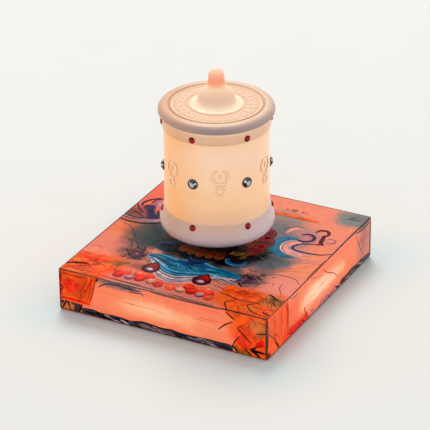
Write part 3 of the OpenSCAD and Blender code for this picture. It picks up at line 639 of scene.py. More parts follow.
def thin_lines(surface):
    """Fine curves that wander over the washes, with a brush stroke and a gilt sketch behind the drum."""
    for points, ink, width in (
            ([(-92, -4), (-82, -8), (-72, -19), (-64, -31), (-57, -40)], "slate", 1.0),
            ([(-60, -31), (-54, -36), (-50, -42), (-56, -40)], "slate", 0.8),
            ([(-79, -27), (-70, -30), (-65, -37), (-61, -45), (-55, -50)], "smoke", 1.0),
            ([(-98, -20), (-88, -16), (-80, -9)], "tan", 0.7),
            ([(-96, -56), (-90, -52), (-84, -55)], "rust", 0.6),
            ([(56, -42), (66, -34), (78, -29.5), (90, -31), (98, -38)], "smoke", 0.9),
            ([(58, -30), (70, -22), (84, -12), (98, 2)], "tan", 0.8),
            ([(62, -28), (80, -20), (98, -14)], "tan", 0.6),
            ([(84, -42), (85, -50), (89, -57), (92, -61)], "smoke", 0.6),
            ([(40, -6), (52, -12), (60, -24)], "grey", 0.5),
            ([(98.6, -26), (98.4, -8), (98.8, 12)], "black", 0.7)):
        ribbon(ink, surface, points, width, 4)
    for flip in (1, -1):
        ribbon("orange", surface, [(flip * u, v) for u, v in ((12, 71), (28, 73), (46, 73), (63, 72.5))], 5.0,
               3, (0.6, 0.3))
        ribbon("ochre", surface, [(flip * u, v) for u, v in ((14, 70), (34, 71), (60, 71))], 1.8, 4)
        brushwork(surface, "gold", (flip * 37, 83), (11, 3), 16, 4, 0.7, 4, 41, 15 * flip)
        brushwork(surface, "grey", (flip * 88, 92), (12, 6), 10, 12, 0.8, 2, 43, 20 * flip)


def thickets(surface):
    """Scribbled bushes left and right of the water."""
    for side, centre in ((-1, (-55, -50)), (1, (55, -47))):
        lean = 60 if side < 0 else 32
        brushwork(surface, "smoke", centre, (15, 14), 84, 6, 0.8, 5, 21 + side, lean)
        brushwork(surface, "black", (centre[0] - 2 * side, centre[1]), (12, 11), 56, 4.4, 0.6, 6, 31 + side,
                  lean)
        brushwork(surface, "mauve", centre, (15, 15), 24, 6, 0.7, 6, 35 + side, lean + 60)
        brushwork(surface, "purple", (centre[0] - 5 * side, centre[1] - 6), (9, 6), 16, 5, 0.9, 7, 38 + side,
                  lean)
    ribbon("slate", surface, [(-62, -32), (-56, -40), (-50, -46), (-46, -54)], 1.5, 7)
    ribbon("smoke", surface, [(-52, -36), (-49, -43), (-50, -50)], 2.6, 7)
    ribbon("black", surface, [(49, -57), (52, -60), (56, -63)], 2.0, 8)


def foreground(surface):
    """Jewels, a heap of beads and wavy lines along the front."""
    flame_jewel(surface, -29, -68, 15.5)
    flame_jewel(surface, 20, -68, 16.5)
    heap = [(-44, -82, 4.2, "coral"), (-33, -81, 4.8, "coral"), (-23, -81, 4.4, "vermilion"),
            (-49, -89, 4.8, "red"),
            (-38, -89, 4.4, "mauve"), (-29, -87, 5.2, "red"), (-18, -88, 4.2, "beige"),
            (-10, -90, 4.6, "vermilion"),
            (2, -90, 4.4, "coral"), (11, -90, 4.2, "beige"), (16, -82, 5.0, "vermilion"),
            (26, -82, 4.8, "coral"),
            (21, -88, 5.0, "red"), (30, -90, 4.2, "mauve"), (36, -85, 4.6, "vermilion"),
            (39, -91, 4.8, "coral"),
            (-53, -83, 3.2, "coral")]
    for k, (u, v, radius, ink) in enumerate(heap):
        coin(surface, u, v, radius, ink, 17 * k)
    for k in range(3):
        ribbon("maroon", surface, [(-12.4 + 2.2 * k, -93), (-11.8 + 2.2 * k, -90), (-12.2 + 2.2 * k, -87)],
               0.8, 10)
    for row in range(5):
        points = [(28 + 4.2 * k, -64 - 3.0 * row - 0.9 * k + (1.0 if k % 2 else -0.6)) for k in range(5)]
        ribbon(("purple", "mauve", "smoke", "mauve", "grey")[row], surface, points, 0.8, 6)
    for k, (start, stop) in enumerate(((-58, -22), (-48, -8), (-30, 20), (6, 50))):
        v = -98.5 - 0.9 * k
        ribbon(("slate", "grey", "grey", "smoke")[k], surface,
               [(start, v), ((start + stop) / 2, v - 1.0), (stop, v - 0.4)], 1.5 - 0.2 * k, 4)


def corners(surface):
    """Flame-coloured cloth at the front left, boards and rock at the front right."""
    shape("orange", surface,
          [(-99.4, -68), (-84, -68), (-70, -66), (-58, -71), (-62, -84), (-66, -103), (-99.4, -103)], 1)
    shape("ochre", surface, [(-66, -72), (-52, -66), (-49, -68), (-56, -78), (-64, -80)], 3)
    for points, ink, width in (
            ([(-99, -72), (-84, -74), (-66, -72)], "vermilion", 2.6),
            ([(-99, -80), (-84, -80), (-62, -76)], "tan", 2.0),
            ([(-98, -99), (-90, -94), (-82, -89), (-74, -82)], "rust", 2.2),
            ([(-96, -96), (-84, -96.5), (-68, -96)], "rust", 1.6),
            ([(-99, -85), (-88, -86), (-76, -90), (-67, -95)], "red", 1.5),
            ([(-97, -102), (-84, -101), (-70, -102)], "tan", 2.2),
            ([(-80, -78), (-72, -80), (-64, -84)], "rust", 1.2),
            ([(-92, -76), (-82, -77), (-72, -76)], "red", 1.2),
            ([(-99.4, -92), (-94, -89), (-86, -85.6), (-80, -85)], "black", 3.6)):
        ribbon(ink, surface, points, width, 4)
    brushwork(surface, "amber", (-82, -84), (17, 16), 20, 20, 1.3, 3, 61, 14)
    brushwork(surface, "vermilion", (-80, -82), (17, 16), 20, 16, 1.1, 3, 62, 18)
    shape("orange", surface,
          [(44, -64), (58, -64.5), (78, -65), (84, -70), (80, -82), (62, -82.5), (50, -80.5), (43, -80)], 2,
          smooth=False)
    shape("tan", surface, [(79, -66), (99.4, -66), (99.4, -84), (82, -83)], 3, smooth=False)
    shape("orange", surface, [(60, -84), (80, -83), (99.4, -86), (99.4, -103), (66, -103), (56, -94)], 2,
          smooth=False)
    shape("ochre", surface, [(84, -67), (99, -69), (99, -79), (90, -76)], 4)
    brushwork(surface, "rust", (62, -73), (20, 9), 26, 14, 0.8, 4, 63, 3)
    brushwork(surface, "brown", (90, -76), (11, 12), 22, 8, 0.7, 5, 64, -24)
    brushwork(surface, "tan", (80, -92), (18, 12), 22, 11, 0.9, 4, 65, 30)
    rocks = [[(62, -84), (55, -92), (58, -98), (62, -103)], [(76, -86), (68, -94), (74, -103)],
             [(82, -82), (74, -89), (84, -98), (99, -100)], [(99, -86), (90, -90), (99, -97)],
             [(44, -80), (52, -81), (64, -84), (80, -82)], [(84, -70), (80, -78), (84, -86)]]
    for k, points in enumerate(rocks):
        ribbon(("brown", "rust")[k % 2], surface, points, 1.3, 6, (0.5, 0.5), steps=2)
    ribbon("black", surface, [(82, -64.5), (86, -66), (90, -69), (95, -71)], 2.2, 7)
    ribbon("black", surface, [(90, -93), (94, -96), (99, -97)], 1.6, 7)


def edge_shade_lines():
    """Thin dark lines along the edges: painted shade standing in for the dark refraction lines at the clear
    edges.
    """
    run_u, run_v = HALF_W - 1.2, HALF_D - 1.2
    for points, ink in (([(-run_u, -run_v), (-62, -run_v)], "rust"),
                        ([(58, -run_v), (run_u, -run_v)], "brown"),
                        ([(run_u, 16), (run_u - 0.2, 60), (run_u, run_v)], "grey"),
                        ([(run_u, run_v), (0, run_v - 0.2), (-run_u, run_v)], "smoke"),
                        ([(-run_u, run_v), (0.2 - run_u, 0), (-run_u, -run_v)], "smoke")):
        ribbon(ink, on_top, points, 0.9, 3, (0.5, 0.5))
    for surface, reach in ((on_front, HALF_W), (on_back, HALF_W), (on_right, HALF_D), (on_left, HALF_D)):
        for side, ink in ((-1, "brown"), (1, "smoke")):
            u = side * (reach - 1.3)
            ribbon(ink, surface, [(u, 1.8), (u + 0.1, 20), (u, 38.6)], 0.9, 7, (0.6, 0.6))
        ribbon("brown", surface, [(-reach + 2, 1.7), (0, 1.6), (reach - 2, 1.7)], 0.7, 7, (0.6, 0.6))


def marbled_foot(surface, start, stop, seed, height=7.0):
    """A strip of streaky dark water along the bottom of a side."""
    rand = random.Random(seed)
    crest = []
    u = start
    while u < stop:
        crest.append((u, height + rand.uniform(-1.6, 1.2)))
        u += rand.uniform(7, 13)
    crest.append((stop, height - 1))
    shape("slate", surface, curve(crest) + [(stop, SKIRT + 0.2), (start, SKIRT + 0.2)], 2, smooth=False)
    ribbon("black", surface, crest, 1.0, 5)
    u = start + 2
    inks = ("slate", "black", "grey", "navy", "mauve", "black", "grey", "lilac")
    while u < stop - 12:
        reach = rand.uniform(8, 22)
        low = rand.uniform(1.8, 3.0)
        high = rand.uniform(4.0, height - 0.8)
        fall = [(u, high), (u + reach * 0.35, high - 0.6), (u + reach * 0.65, low + 0.8),
                (min(u + reach, stop), low)]
        ribbon(inks[rand.randrange(len(inks))], surface, fall, rand.uniform(0.6, 2.2), 3 + rand.randrange(3))
        u += reach * rand.uniform(0.14, 0.34)


def fold_panel(surface, side):
    """Orange cloth hung at one end of a side, over a brown ground."""
    def at(points):
        return [(side * u, v) for u, v in points]
    shape("smoke", surface, at([(99.4, 10), (77, 10), (80, 1.4), (99.4, 1.4)]), 2, smooth=False)
    brushwork(surface, "tan", (side * 90, 5.4), (8, 2.4), 14, 7, 1.2, 3, 91, 70 * side)
    shape("orange", surface, at([(99.4, 39.2), (62, 39.2), (66, 24), (70, 11), (99.4, 11)]), 3, smooth=False)
    shape("vermilion", surface, at([(94, 31), (84, 32), (80, 27), (83, 21), (93, 20)]), 4)
    brushwork(surface, "vermilion", (side * 88, 26), (10, 7), 16, 9, 1.4, 5, 92, -18 * side)
    brushwork(surface, "coral", (side * 78, 24), (8, 12), 14, 12, 1.1, 5, 93, 80 * side)
    for points, ink, width in (
            ([(99, 12.4), (86, 13), (70, 12)], "red", 2.2), ([(63, 39), (66, 26), (70, 12)], "rust", 1.2),
            ([(67, 38), (69, 28), (72, 14)], "rust", 0.9), ([(66, 38.6), (69, 33), (74, 22)], "red", 1.6),
            ([(71, 38), (73, 32), (78, 24), (84, 18)], "rust", 1.0),
            ([(98, 37), (84, 36.4), (72, 37.4)], "rust", 1.8),
            ([(97, 34), (98.4, 24), (97, 14)], "red", 1.8), ([(98.8, 26), (96, 22), (99, 18)], "black", 1.1),
            ([(99, 38.6), (97.6, 31)], "black", 1.4), ([(92, 11), (95, 6), (97, 2)], "black", 1.5),
            ([(77, 9.6), (79, 5), (80, 1.6)], "black", 1.5),
            ([(63, 36), (61.6, 38), (61, 39.4)], "black", 1.6)):
        ribbon(ink, surface, at(points), width, 6)


def planks(surface, side):
    """Slanting boards and rock at the other end of a side."""
    def at(points):
        return [(side * u, v) for u, v in points]
    shape("orange", surface,
          at([(60, 39.2), (72, 29), (70, 26), (80, 20), (68, 8), (72, 1.4), (99.4, 1.4), (99.4, 39.2)]), 2,
          smooth=False)
    shape("vermilion", surface, at([(76, 22), (86, 12), (80, 6), (71, 12), (74, 17)]), 3, smooth=False)
    shape("tan", surface, at([(86, 38), (99, 37), (99, 24), (90, 18), (82, 28)]), 3, smooth=False)
    shape("ochre", surface, at([(70, 9), (76, 3), (80, 7), (85, 2), (72, 1.4)]), 4, smooth=False)
    brushwork(surface, "coral", (side * 82, 22), (14, 14), 18, 11, 1.3, 4, 94, 42 * side)
    brushwork(surface, "rust", (side * 80, 20), (14, 14), 11, 8, 0.6, 5, 95, -44 * side)
    for k, points in enumerate(([(61, 38), (65, 35), (70, 32)], [(80, 31), (76, 28), (72, 25)],
                                [(72, 25), (79, 19), (86, 13)], [(83, 38), (86, 37), (90, 32)],
                                [(74, 18), (70, 12), (68, 8)], [(99, 14), (92, 13), (85, 7)],
                                [(99, 26), (95, 25), (90, 24)], [(91, 35), (96, 35), (99, 34)],
                                [(54, 19), (60, 25), (68, 30)])):
        ribbon(("brown", "rust")[k % 2], surface, at(points), 1.3, 6, (0.4, 0.3), steps=3)
    shape("red", surface, at([(89, 13), (94, 19), (97, 18), (97, 14), (93, 11)]), 6)
    for points, width in (([(85, 8), (90, 7), (98.6, 7)], 2.4), ([(84, 8), (89, 5), (94, 1.6)], 2.4),
                          ([(67, 8), (70, 5), (73, 1.6)], 1.8), ([(79, 7), (83, 4), (86, 1.6)], 1.4),
                          ([(90, 11), (87, 9), (85, 8)], 1.8)):
        ribbon("black", surface, at(points), width, 7)


def streaks(surface, seed, count=10):
    """Faint level brush lines across the lit middle of a side."""
    rand = random.Random(seed)
    for _ in range(count):
        u = rand.uniform(-58, 58)
        v = rand.uniform(10, 35)
        reach = rand.uniform(14, 40)
        points = [(u - reach / 2, v), (u, v + rand.uniform(-0.8, 0.8)),
                  (u + reach / 2, v + rand.uniform(-1, 1))]
        ribbon(("pink", "amber", "coral")[rand.randrange(3)], surface, points, rand.uniform(0.3, 0.7), 1)


def side_pictures():
    """The four side faces."""
    for surface, seed in ((on_front, 51), (on_back, 52)):
        streaks(surface, seed)
        marbled_foot(surface, -78, 68, seed + 10)
        fold_panel(surface, -1)
        planks(surface, 1)
        brushwork(surface, "grey", (-42, 38), (22, 1.2), 16, 14, 0.9, 3, seed + 20, -3)
        ribbon("slate", surface, [(-61, 31), (-57, 34), (-50, 37), (-44, 38)], 1.3, 4)
        ribbon("slate", surface, [(-50, 38), (-40, 37.4), (-28, 36.4), (-20, 37)], 1.4, 4)
        ribbon("purple", surface, [(-31, 34), (-26, 34.2), (-21, 35), (-18, 34.6), (-16.6, 32.6)], 1.0, 5)
        ribbon("smoke", surface, [(-10, 39), (14, 38.4), (40, 38.8), (58, 38.6)], 0.9, 3)
    for surface, seed in ((on_right, 71), (on_left, 72)):
        streaks(surface, seed)
        marbled_foot(surface, 46, 102, seed + 10, 6.4)
        brushwork(surface, "mauve", (14, 4), (30, 2), 16, 16, 1.1, 2, seed + 9, 0)
        for k in range(13):
            u = -102 + 3.1 * k
            ribbon(("rust", "tan", "orange", "vermilion")[k % 4], surface,
                   [(u, 38.4), (u + 1.4, 26), (u + 0.6, 12 - k % 3)], 1.6 - 0.3 * (k % 2), 2)
        shape("dark_red", surface, [(-103, 6.6), (-97.6, 6), (-97, 1.4), (-103, 1.4)], 3, smooth=False)
        shape("red", surface, [(-64, 6.4), (-52, 6.8), (-40, 6), (-38, 1.6), (-50, 1.4), (-57, 2)], 3)
        shape("vermilion", surface,
              [(-62, 10), (-40, 8), (-28, 9), (-24, 2), (-38, 1.6), (-40, 6.4), (-60, 7)], 2)
        for points, ink, width in (
                ([(-103, 26), (-96, 20), (-88, 13), (-82, 4), (-81, 1.6)], "rust", 1.8),
                ([(-88, 11), (-84, 6), (-81, 1.8)], "brown", 2.2),
                ([(-92, 20), (-84, 15), (-79, 8)], "rust", 1.0),
                ([(-33, 17), (-30, 10), (-26, 3), (-25, 1.6)], "rust", 1.8),
                ([(-38, 7), (-34, 4), (-32, 1.6)], "brown", 1.4),
                ([(4, 36), (10, 30), (18, 25), (26, 21), (34, 14)], "rust", 1.0),
                ([(-20, 38), (-8, 33), (4, 30)], "tan", 0.7),
                ([(30, 6), (34, 3), (39, 1.8)], "purple", 1.8),
                ([(-66, 38), (-65, 24), (-64, 9)], "rust", 1.4),
                ([(-59, 38), (-52, 35.6), (-44, 36.6)], "mauve", 1.6),
                ([(70, 38.6), (82, 36), (92, 35.6), (101, 36)], "slate", 1.5),
                ([(78, 39), (90, 38.6), (101, 39)], "smoke", 1.2),
                ([(101.6, 36), (102, 20), (101.6, 5)], "smoke", 1.6),
                ([(72, 36), (78, 24), (88, 9)], "grey", 1.0)):
            ribbon(ink, surface, points, width, 5)
        brushwork(surface, "smoke", (46, 4.6), (9, 2), 16, 6, 1.0, 5, seed + 30, -12)
        brushwork(surface, "mauve", (88, 24), (8, 10), 9, 14, 1.2, 2, seed + 31, 78)


def ink_look(name, value):
    """A printed ink: its colour drifts a little, and light from below shows through it."""
    colour = rgb(*value)
    look = Look("ink_" + name, **PRINT_GLOSS)
    drift = look.remap(look.noise(0.16, 4), 0.3, 0.7)
    tone = look.mix(drift, dim(colour, 0.66), dim(colour, 1.2))
    return look.lit(tone, 0.5, 0.46)


def print_picture():
    waterfall(on_top)
    petals_round(on_top)
    right_scroll(on_top)
    left_scroll(on_top)
    thin_lines(on_top)
    thickets(on_top)
    foreground(on_top)
    corners(on_top)
    edge_shade_lines()
    side_pictures()
    for ink in sorted(art):
        piece("print_" + ink, art[ink].verts, art[ink].faces, "base", "lit_print",
              [ink_look(ink, INKS[ink])], smooth_angle=0)


# ---- base cover ----

def wash(name, plane, ground, patches, solid, glow):
    """The blurred ground colours of one face: each patch is (centre, reach, colour, strength, core)."""
    look = Look("wash_" + name, **PRINT_GLOSS)
    u, v = {"top": (look.x, look.y), "front": (look.x, look.z), "side": (look.y, look.z)}[plane]
    wobble = look.remap(look.noise(0.035, 3), 0.2, 0.8, -0.3, 0.3, smooth=False)
    colour = rgb(*ground)
    for centre, reach, tone, strength, core in patches:
        mask = look.patch(u, v, centre, reach, wobble, core)
        colour = look.mix(look.math("MULTIPLY", mask, strength), colour, rgb(*tone))
    stretch = (0.25, 1, 1) if plane == "front" else (1, 0.25, 1) if plane == "side" else (1, 0.6, 1)
    brush = look.remap(look.noise(0.22, 5, stretch), 0.35, 0.72)
    grain = look.remap(look.noise(0.5, 3), 0.55, 0.75)
    shade = look.math("MULTIPLY", look.remap(brush, 0, 1, 0.97, 1.06), look.remap(grain, 0, 1, 1.0, 0.94))
    return look.lit(look.scaled(colour, shade), solid, glow)


def washes():
    top = wash("top", "top", (240, 134, 104), [
        ((-88, 44), (40, 60), (240, 98, 72), 0.9, 0.3), ((-92, -14), (30, 20), (236, 114, 70), 0.9, 0.3),
        ((-84, -42), (36, 26), (232, 122, 98), 0.9, 0.3), ((-84, 16), (34, 22), (112, 56, 52), 0.85, 0.3),
        ((96, 0), (30, 70), (240, 134, 94), 0.8, 0.3),
        ((86, -48), (30, 20), (244, 138, 122), 0.9, 0.4), ((30, 50), (50, 34), (150, 124, 116), 0.95, 0.5),
        # ((2, 2), ...) greys the middle: painted shade where the lamps inside the base are blocked
        ((64, 42), (30, 26), (196, 124, 120), 0.7, 0.3), ((2, 2), (80, 68), (118, 108, 108), 1.0, 0.66),
        ((-58, -14), (34, 40), (64, 62, 58), 0.95, 0.4), ((-52, -18), (24, 34), (48, 60, 62), 0.9, 0.3),
        ((54, -14), (26, 34), (88, 94, 100), 0.9, 0.3),
        ((-56, -54), (24, 20), (122, 82, 76), 0.9, 0.3), ((54, -48), (24, 24), (120, 94, 96), 0.9, 0.3),
        # ((-2, -14), ...) is near-black under the drum: painted shadow of the drum
        ((-2, -14), (64, 36), (2, 0, 0), 1.0, 0.6), ((-30, -52), (30, 18), (40, 40, 44), 0.9, 0.3),
        ((36, -50), (28, 16), (70, 60, 64), 0.8, 0.3), ((-26, -70), (40, 12), (120, 44, 34), 0.8, 0.3),
        ((0, -92), (70, 16), (206, 100, 82), 0.9, 0.4),
        ((-4, -98), (62, 10), (210, 118, 100), 0.7, 0.4),
        ((-84, -86), (42, 32), (246, 66, 4), 1.0, 0.6), ((80, -86), (42, 30), (244, 92, 24), 1.0, 0.6),
        ((-62, -66), (18, 14), (232, 90, 40), 0.8, 0.3),
        # ((96, 94), ...) greys the back right corner: painted refraction of the clear edge
        ((96, 94), (34, 22), (124, 128, 122), 1.0, 0.5)], 0.5, 0.46)
    front = wash("front", "front", (246, 124, 88), [
        # The paler middle bands and the cream hot spot are painted light from the lamps behind this face
        ((0, 21), (86, 17), (248, 140, 98), 0.9, 0.3), ((2, 20), (58, 12), (250, 158, 114), 0.9, 0.3),
        ((-2, 21), (40, 11), (255, 196, 154), 0.75, 0.1), ((-88, 24), (26, 26), (246, 74, 18), 0.95, 0.5),
        ((86, 22), (26, 28), (246, 82, 22), 0.9, 0.5), ((-42, 39), (32, 7), (132, 96, 96), 0.9, 0.3),
        ((20, 40), (50, 4), (180, 110, 94), 0.7, 0.3), ((0, 1), (110, 7), (110, 74, 66), 0.9, 0.4)], 0.55,
        0.62)
    side = wash("side", "side", (246, 124, 86), [
        # The paler middle bands and the cream hot spot are painted light from the lamps behind this face
        ((-2, 20), (82, 18), (248, 142, 100), 0.9, 0.3), ((-2, 20), (58, 12), (251, 176, 132), 0.95, 0.3),
        ((4, 21), (58, 13), (255, 212, 176), 0.85, 0.15), ((-90, 16), (40, 40), (248, 92, 30), 0.95, 0.5),
        ((-54, 4), (30, 12), (236, 52, 20), 0.9, 0.4),
        ((-52, 22), (18, 18), (246, 100, 62), 0.8, 0.3), ((90, 24), (22, 34), (190, 118, 102), 0.9, 0.4),
        ((92, 40), (26, 6), (100, 96, 98), 0.9, 0.3), ((70, 1), (50, 8), (120, 84, 80), 0.9, 0.3),
        ((0, 1), (60, 6), (206, 116, 100), 0.7, 0.3)], 0.55, 0.62)
    # Bevelled edges: dark painted shade standing in for the refraction lines of clear edges, mixed unevenly
    # with a brown by noise
    edge = Look("painted_edge_shade", Roughness=0.25, Specular_IOR_Level=0.4)
    edge_shade_spread = edge.remap(edge.noise(0.05, 3), 0.42, 0.6)
    tone = edge.mix(edge_shade_spread, rgb(44, 24, 22), rgb(150, 74, 54))
    return [top, front, side, edge.lit(tone, 0.5, 0.12)]


def cutter(name, verts, faces):
    mesh = bpy.data.meshes.new(name)
    mesh.from_pydata([(x * MM, y * MM, z * MM) for x, y, z in verts], [], faces)
    made = bpy.data.objects.new(name, mesh)
    bpy.context.scene.collection.objects.link(made)
    return made


def box_shape(low, high):
    corners_of = [(x, y, z) for x in (low[0], high[0]) for y in (low[1], high[1]) for z in (low[2], high[2])]
    faces = [(0, 1, 3, 2), (4, 6, 7, 5), (0, 4, 5, 1), (2, 3, 7, 6), (0, 2, 6, 4), (1, 5, 7, 3)]
    return corners_of, faces


def pin_shape(centre, radius, depth, axis="y", squash=1.0, count=48):
    """A short cylinder along Y or Z, squashed in height where asked."""
    rings = []
    for shift in (-depth / 2, depth / 2):
        for k in range(count):
            angle = TAU * k / count
            u, v = radius * math.cos(angle), radius * squash * math.sin(angle)
            rings.append((centre[0] + u, centre[1] + shift, centre[2] + v) if axis == "y"
                         else (centre[0] + u, centre[1] + v, centre[2] + shift))
    faces = [tuple(range(count)), tuple(reversed(range(count, 2 * count)))]
    faces += [(k, (k + 1) % count, count + (k + 1) % count, count + k) for k in range(count)]
    return rings, faces


def make_cover():
    """The printed shell with softened edges, its hollow, and the openings in its back and top."""
    verts, faces = box_shape((PRINT_INSET - HALF_W, PRINT_INSET - HALF_D, SKIRT),
                             (HALF_W - PRINT_INSET, HALF_D - PRINT_INSET, TOP))
    looks = washes()
    shell = piece("printed_cover", verts, faces, "base", "lit_print", looks, smooth_angle=30)
    bevel = shell.modifiers.new("edges", "BEVEL")
    bevel.width = 0.7 * MM
    bevel.segments = 3
    bevel.limit_method = "ANGLE"
    socket, button = ((middle(node, "x"), HALF_D, middle(node, "z")) for node in ("usb_socket",
                                                                                  "power_button"))
    tools = [
        cutter("cut_hollow",
               *box_shape((COVER_WALL - HALF_W, COVER_WALL - HALF_D, SKIRT - 2),
                          (HALF_W - COVER_WALL, HALF_D - COVER_WALL, TOP - COVER_WALL))),
        cutter("cut_spindle", *pin_shape((0, 0, TOP), 13.2, 12, "z")),
        cutter("cut_socket", *pin_shape(socket, 6.2, 14, squash=0.55)),
        cutter("cut_button", *pin_shape(button, 4.3, 14)),
        cutter("cut_dish", *pin_shape(button, 7, 3)),
    ]
    for tool in tools:
        cut = shell.modifiers.new(tool.name, "BOOLEAN")
        cut.operation = "DIFFERENCE"
        cut.solver = "EXACT"
        cut.object = tool
    depsgraph = bpy.context.evaluated_depsgraph_get()
    cooked = bpy.data.meshes.new_from_object(shell.evaluated_get(depsgraph))
    shell.modifiers.clear()
    shell.data = cooked
    for tool in tools:
        bpy.data.objects.remove(tool)
    cooked.materials.clear()
    for look in looks:
        cooked.materials.append(look)
    for face in cooked.polygons:
        lean = [abs(part) for part in face.normal]
        flat = max(lean)
        face.material_index = 3 if flat < 0.98 else (2, 1, 0)[lean.index(flat)]
    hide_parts("base_cover")


# ---- drum and lid ----

def shell_look(name, ramp_by, stops, solid, glow, left=None, right=None):
    """Pale translucent resin, lit from inside, graded by height or by radius, with painted light tinting the
    sides towards the view's left and right.
    """
    look = Look(name, **GLOSS)
    if ramp_by == "z":
        along = look.z
    else:
        along = look.distance(look.x, look.y)
    colour = look.ramp(along, [(place, rgb(*tone)) for place, tone in stops])
    # Painted light: the colour shifts towards the tints on the view's left and right sides
    sideways = look.math("ADD", look.math("MULTIPLY", look.x, VIEW_ACROSS[0]),
                         look.math("MULTIPLY", look.y, VIEW_ACROSS[1]))
    for side, edge in ((left, -DRUM_R), (right, DRUM_R)):
        if side:
            mask = look.remap(sideways, edge * 0.1, edge)
            colour = look.mix(look.math("MULTIPLY", mask, side[1]), colour, rgb(*side[0]))
    cloud = look.remap(look.noise(0.045, 3), 0.3, 0.7)
    colour = look.mix(look.math("MULTIPLY", cloud, 0.08), colour, rgb(255, 228, 196))
    look.bump(look.noise(0.35, 3, (1, 1, 0.35)), 0.10)
    return look.lit(colour, solid, glow)


def make_drum():
    low = FOOT_LOW.z
    seam_z = FOOT_HIGH.z
    bulge_r = FOOT_HIGH.x
    bulge_z = low + 8.6
    band_r = DRUM_R + 1.0
    bead_r = BAND_HIGH.x - band_r + 0.4
    neck_r = DRUM_R + 1.2
    flat_r = 41
    inner_r = DRUM_R - 2.6
    bowl = bend((flat_r, bulge_z), (bulge_r - flat_r, bulge_z - low), -90, 0, 14)
    flare = []
    for k in range(1, 15):
        share = k / 15
        flare.append((neck_r + (bulge_r - neck_r) * (1 + math.cos(math.pi * share)) / 2,
                      bulge_z + (seam_z - 0.5 - bulge_z) * share))
    lip = [(neck_r, seam_z - 0.5), (neck_r - 0.15, seam_z - 0.12), (neck_r - 0.5, seam_z), (DRUM_R, seam_z)]
    floor = [(DRUM_R, low + 6.6), (inner_r, low + 6.6), (inner_r - 3, low + 3.6), (6, low + 3.6), (6, low)]
    # Darker to near-black at the foot's underside: painted shade; the warm left and pale lavender right tints
    # are painted light
    foot_look = shell_look("foot_resin", "z", [
        (low, (60, 46, 52)), (low + 3, (134, 118, 128)), (low + 6, (176, 158, 168)),
        (low + 10, (196, 174, 176)),
        (low + 16, (208, 176, 164)), (seam_z, (216, 178, 158))], 0.72, 0.30,
        ((198, 150, 120), 0.5), ((212, 196, 204), 0.6))
    foot = piece("drum_foot_shell", *lathe(bowl + flare + lip + floor), "drum", "lit_foot", [foot_look])
    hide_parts("drum_foot")

    wall_top = WALL_HIGH.z
    profile = [(DRUM_R - 0.6, seam_z - 8), (DRUM_R - 0.05, seam_z - 8), (DRUM_R, seam_z)]
    profile += [(DRUM_R, seam_z + (BAND_LOW.z - 0.4 - seam_z) * k / 12) for k in range(1, 13)]
    profile += [(DRUM_R - 0.2, BAND_LOW.z), (SEAT_R, BAND_LOW.z), (SEAT_R, wall_top),
                (inner_r, wall_top), (inner_r, WALL_LOW.z), (DRUM_R - 0.6, WALL_LOW.z)]
    # The warm left tint and the pale right tint are painted light; the height ramp is the glow of the lamp
    # inside
    wall_look = shell_look("drum_resin", "z", [
        (seam_z, (222, 180, 152)), (seam_z + 6, (234, 186, 148)), (seam_z + 20, (247, 198, 150)),
        (seam_z + 40, (249, 206, 168)), (seam_z + 62, (249, 210, 180)), (BAND_LOW.z, (248, 204, 168))], 0.5,
        0.58,
        ((250, 172, 96), 0.75), ((248, 204, 164), 0.5))
    wall = piece("drum_wall_shell", *lathe(profile), "drum", "lit_drum", [wall_look])
    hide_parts("drum_wall")

    top = BAND_HIGH.z
    ring = [(band_r - 0.3, BAND_LOW.z), (band_r, BAND_LOW.z + 0.3), (band_r, top - 2 * bead_r - 0.1)]
    ring += bend((BAND_HIGH.x - bead_r, top - bead_r), (bead_r, bead_r), -60, 90, 14)
    ring += [(SEAT_R, top), (SEAT_R, BAND_LOW.z)]
    # Brighter over the top bead: a painted highlight; the left and right tints are painted light
    band_look = shell_look("band_resin", "z", [
        (BAND_LOW.z, (216, 168, 134)), (BAND_LOW.z + 4, (226, 180, 148)), (top - 3.0, (228, 184, 150)),
        (top - 2, (248, 204, 168)), (top, (250, 206, 170))], 0.6, 0.46,
        ((228, 162, 106), 0.6), ((232, 192, 166), 0.5))
    band = piece("upper_band_ring", *lathe(ring), "drum", "lit_band", [band_look])
    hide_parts("upper_band")


def swell(count, thin, more, power=1.0):
    """Widths along a stroke that is thin at both ends."""
    return [thin + more * math.sin(math.pi * i / (count - 1)) ** power for i in range(count)]


def ornament(relief, turn, height):
    """Raised scroll: a pair of tapering leaves, a bud, a short bar and a ring."""
    surface = on_drum(DRUM_R, turn, height)
    section = [(-1, -0.2)] + [(math.cos(math.radians(a)) * -1, 0.95 * math.sin(math.radians(a)))
                              for a in range(0, 181, 30)] + [(1, -0.2)]
    for lean in (-1, 1):
        leaf = curve([(lean * 0.8, -0.4), (lean * 4.8, 0.8), (lean * 6.6, 5.2), (lean * 4.8, 9.8),
                      (lean * 2.0, 10.8)])
        relief.band(surface, leaf, swell(len(leaf), 0.5, 2.1, 0.8), section)
    bud = curve([(0, 2.8), (0, 5.2), (0, 8.0)])
    relief.band(surface, bud, swell(len(bud), 0.5, 2.6), section)
    bar = curve([(-4.8, -2.6), (0, -3.5), (4.8, -2.6)])
    relief.band(surface, bar, swell(len(bar), 0.5, 1.2), section)
    ring = oval((0, -8.2), 3.5, 3.5, count=36)
    relief.band(surface, ring, [1.8] * len(ring), section, closed=True)


def make_ornaments():
    relief = Shapes()
    height = middle("drum_ornaments", "z") + 0.4
    for k in range(STUDS):
        ornament(relief, STUD_TURN + STUD_PITCH * (k - 1), height)
    look = Look("relief_resin", **GLOSS)
    # Darker where the relief meets the wall and lighter on its crest: painted shade and painted highlight
    colour = look.ramp(look.distance(look.x, look.y),
                       [(DRUM_R - 0.1, rgb(186, 122, 84)), (DRUM_R + 0.45, rgb(222, 164, 124)),
                                (DRUM_R + 0.95, rgb(255, 216, 182))])
    made = piece("drum_scrolls", relief.verts, relief.faces, "drum", "lit_drum",
                 [look.lit(colour, 0.56, 0.46)],
                 smooth_angle=60)
    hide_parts("drum_ornaments")


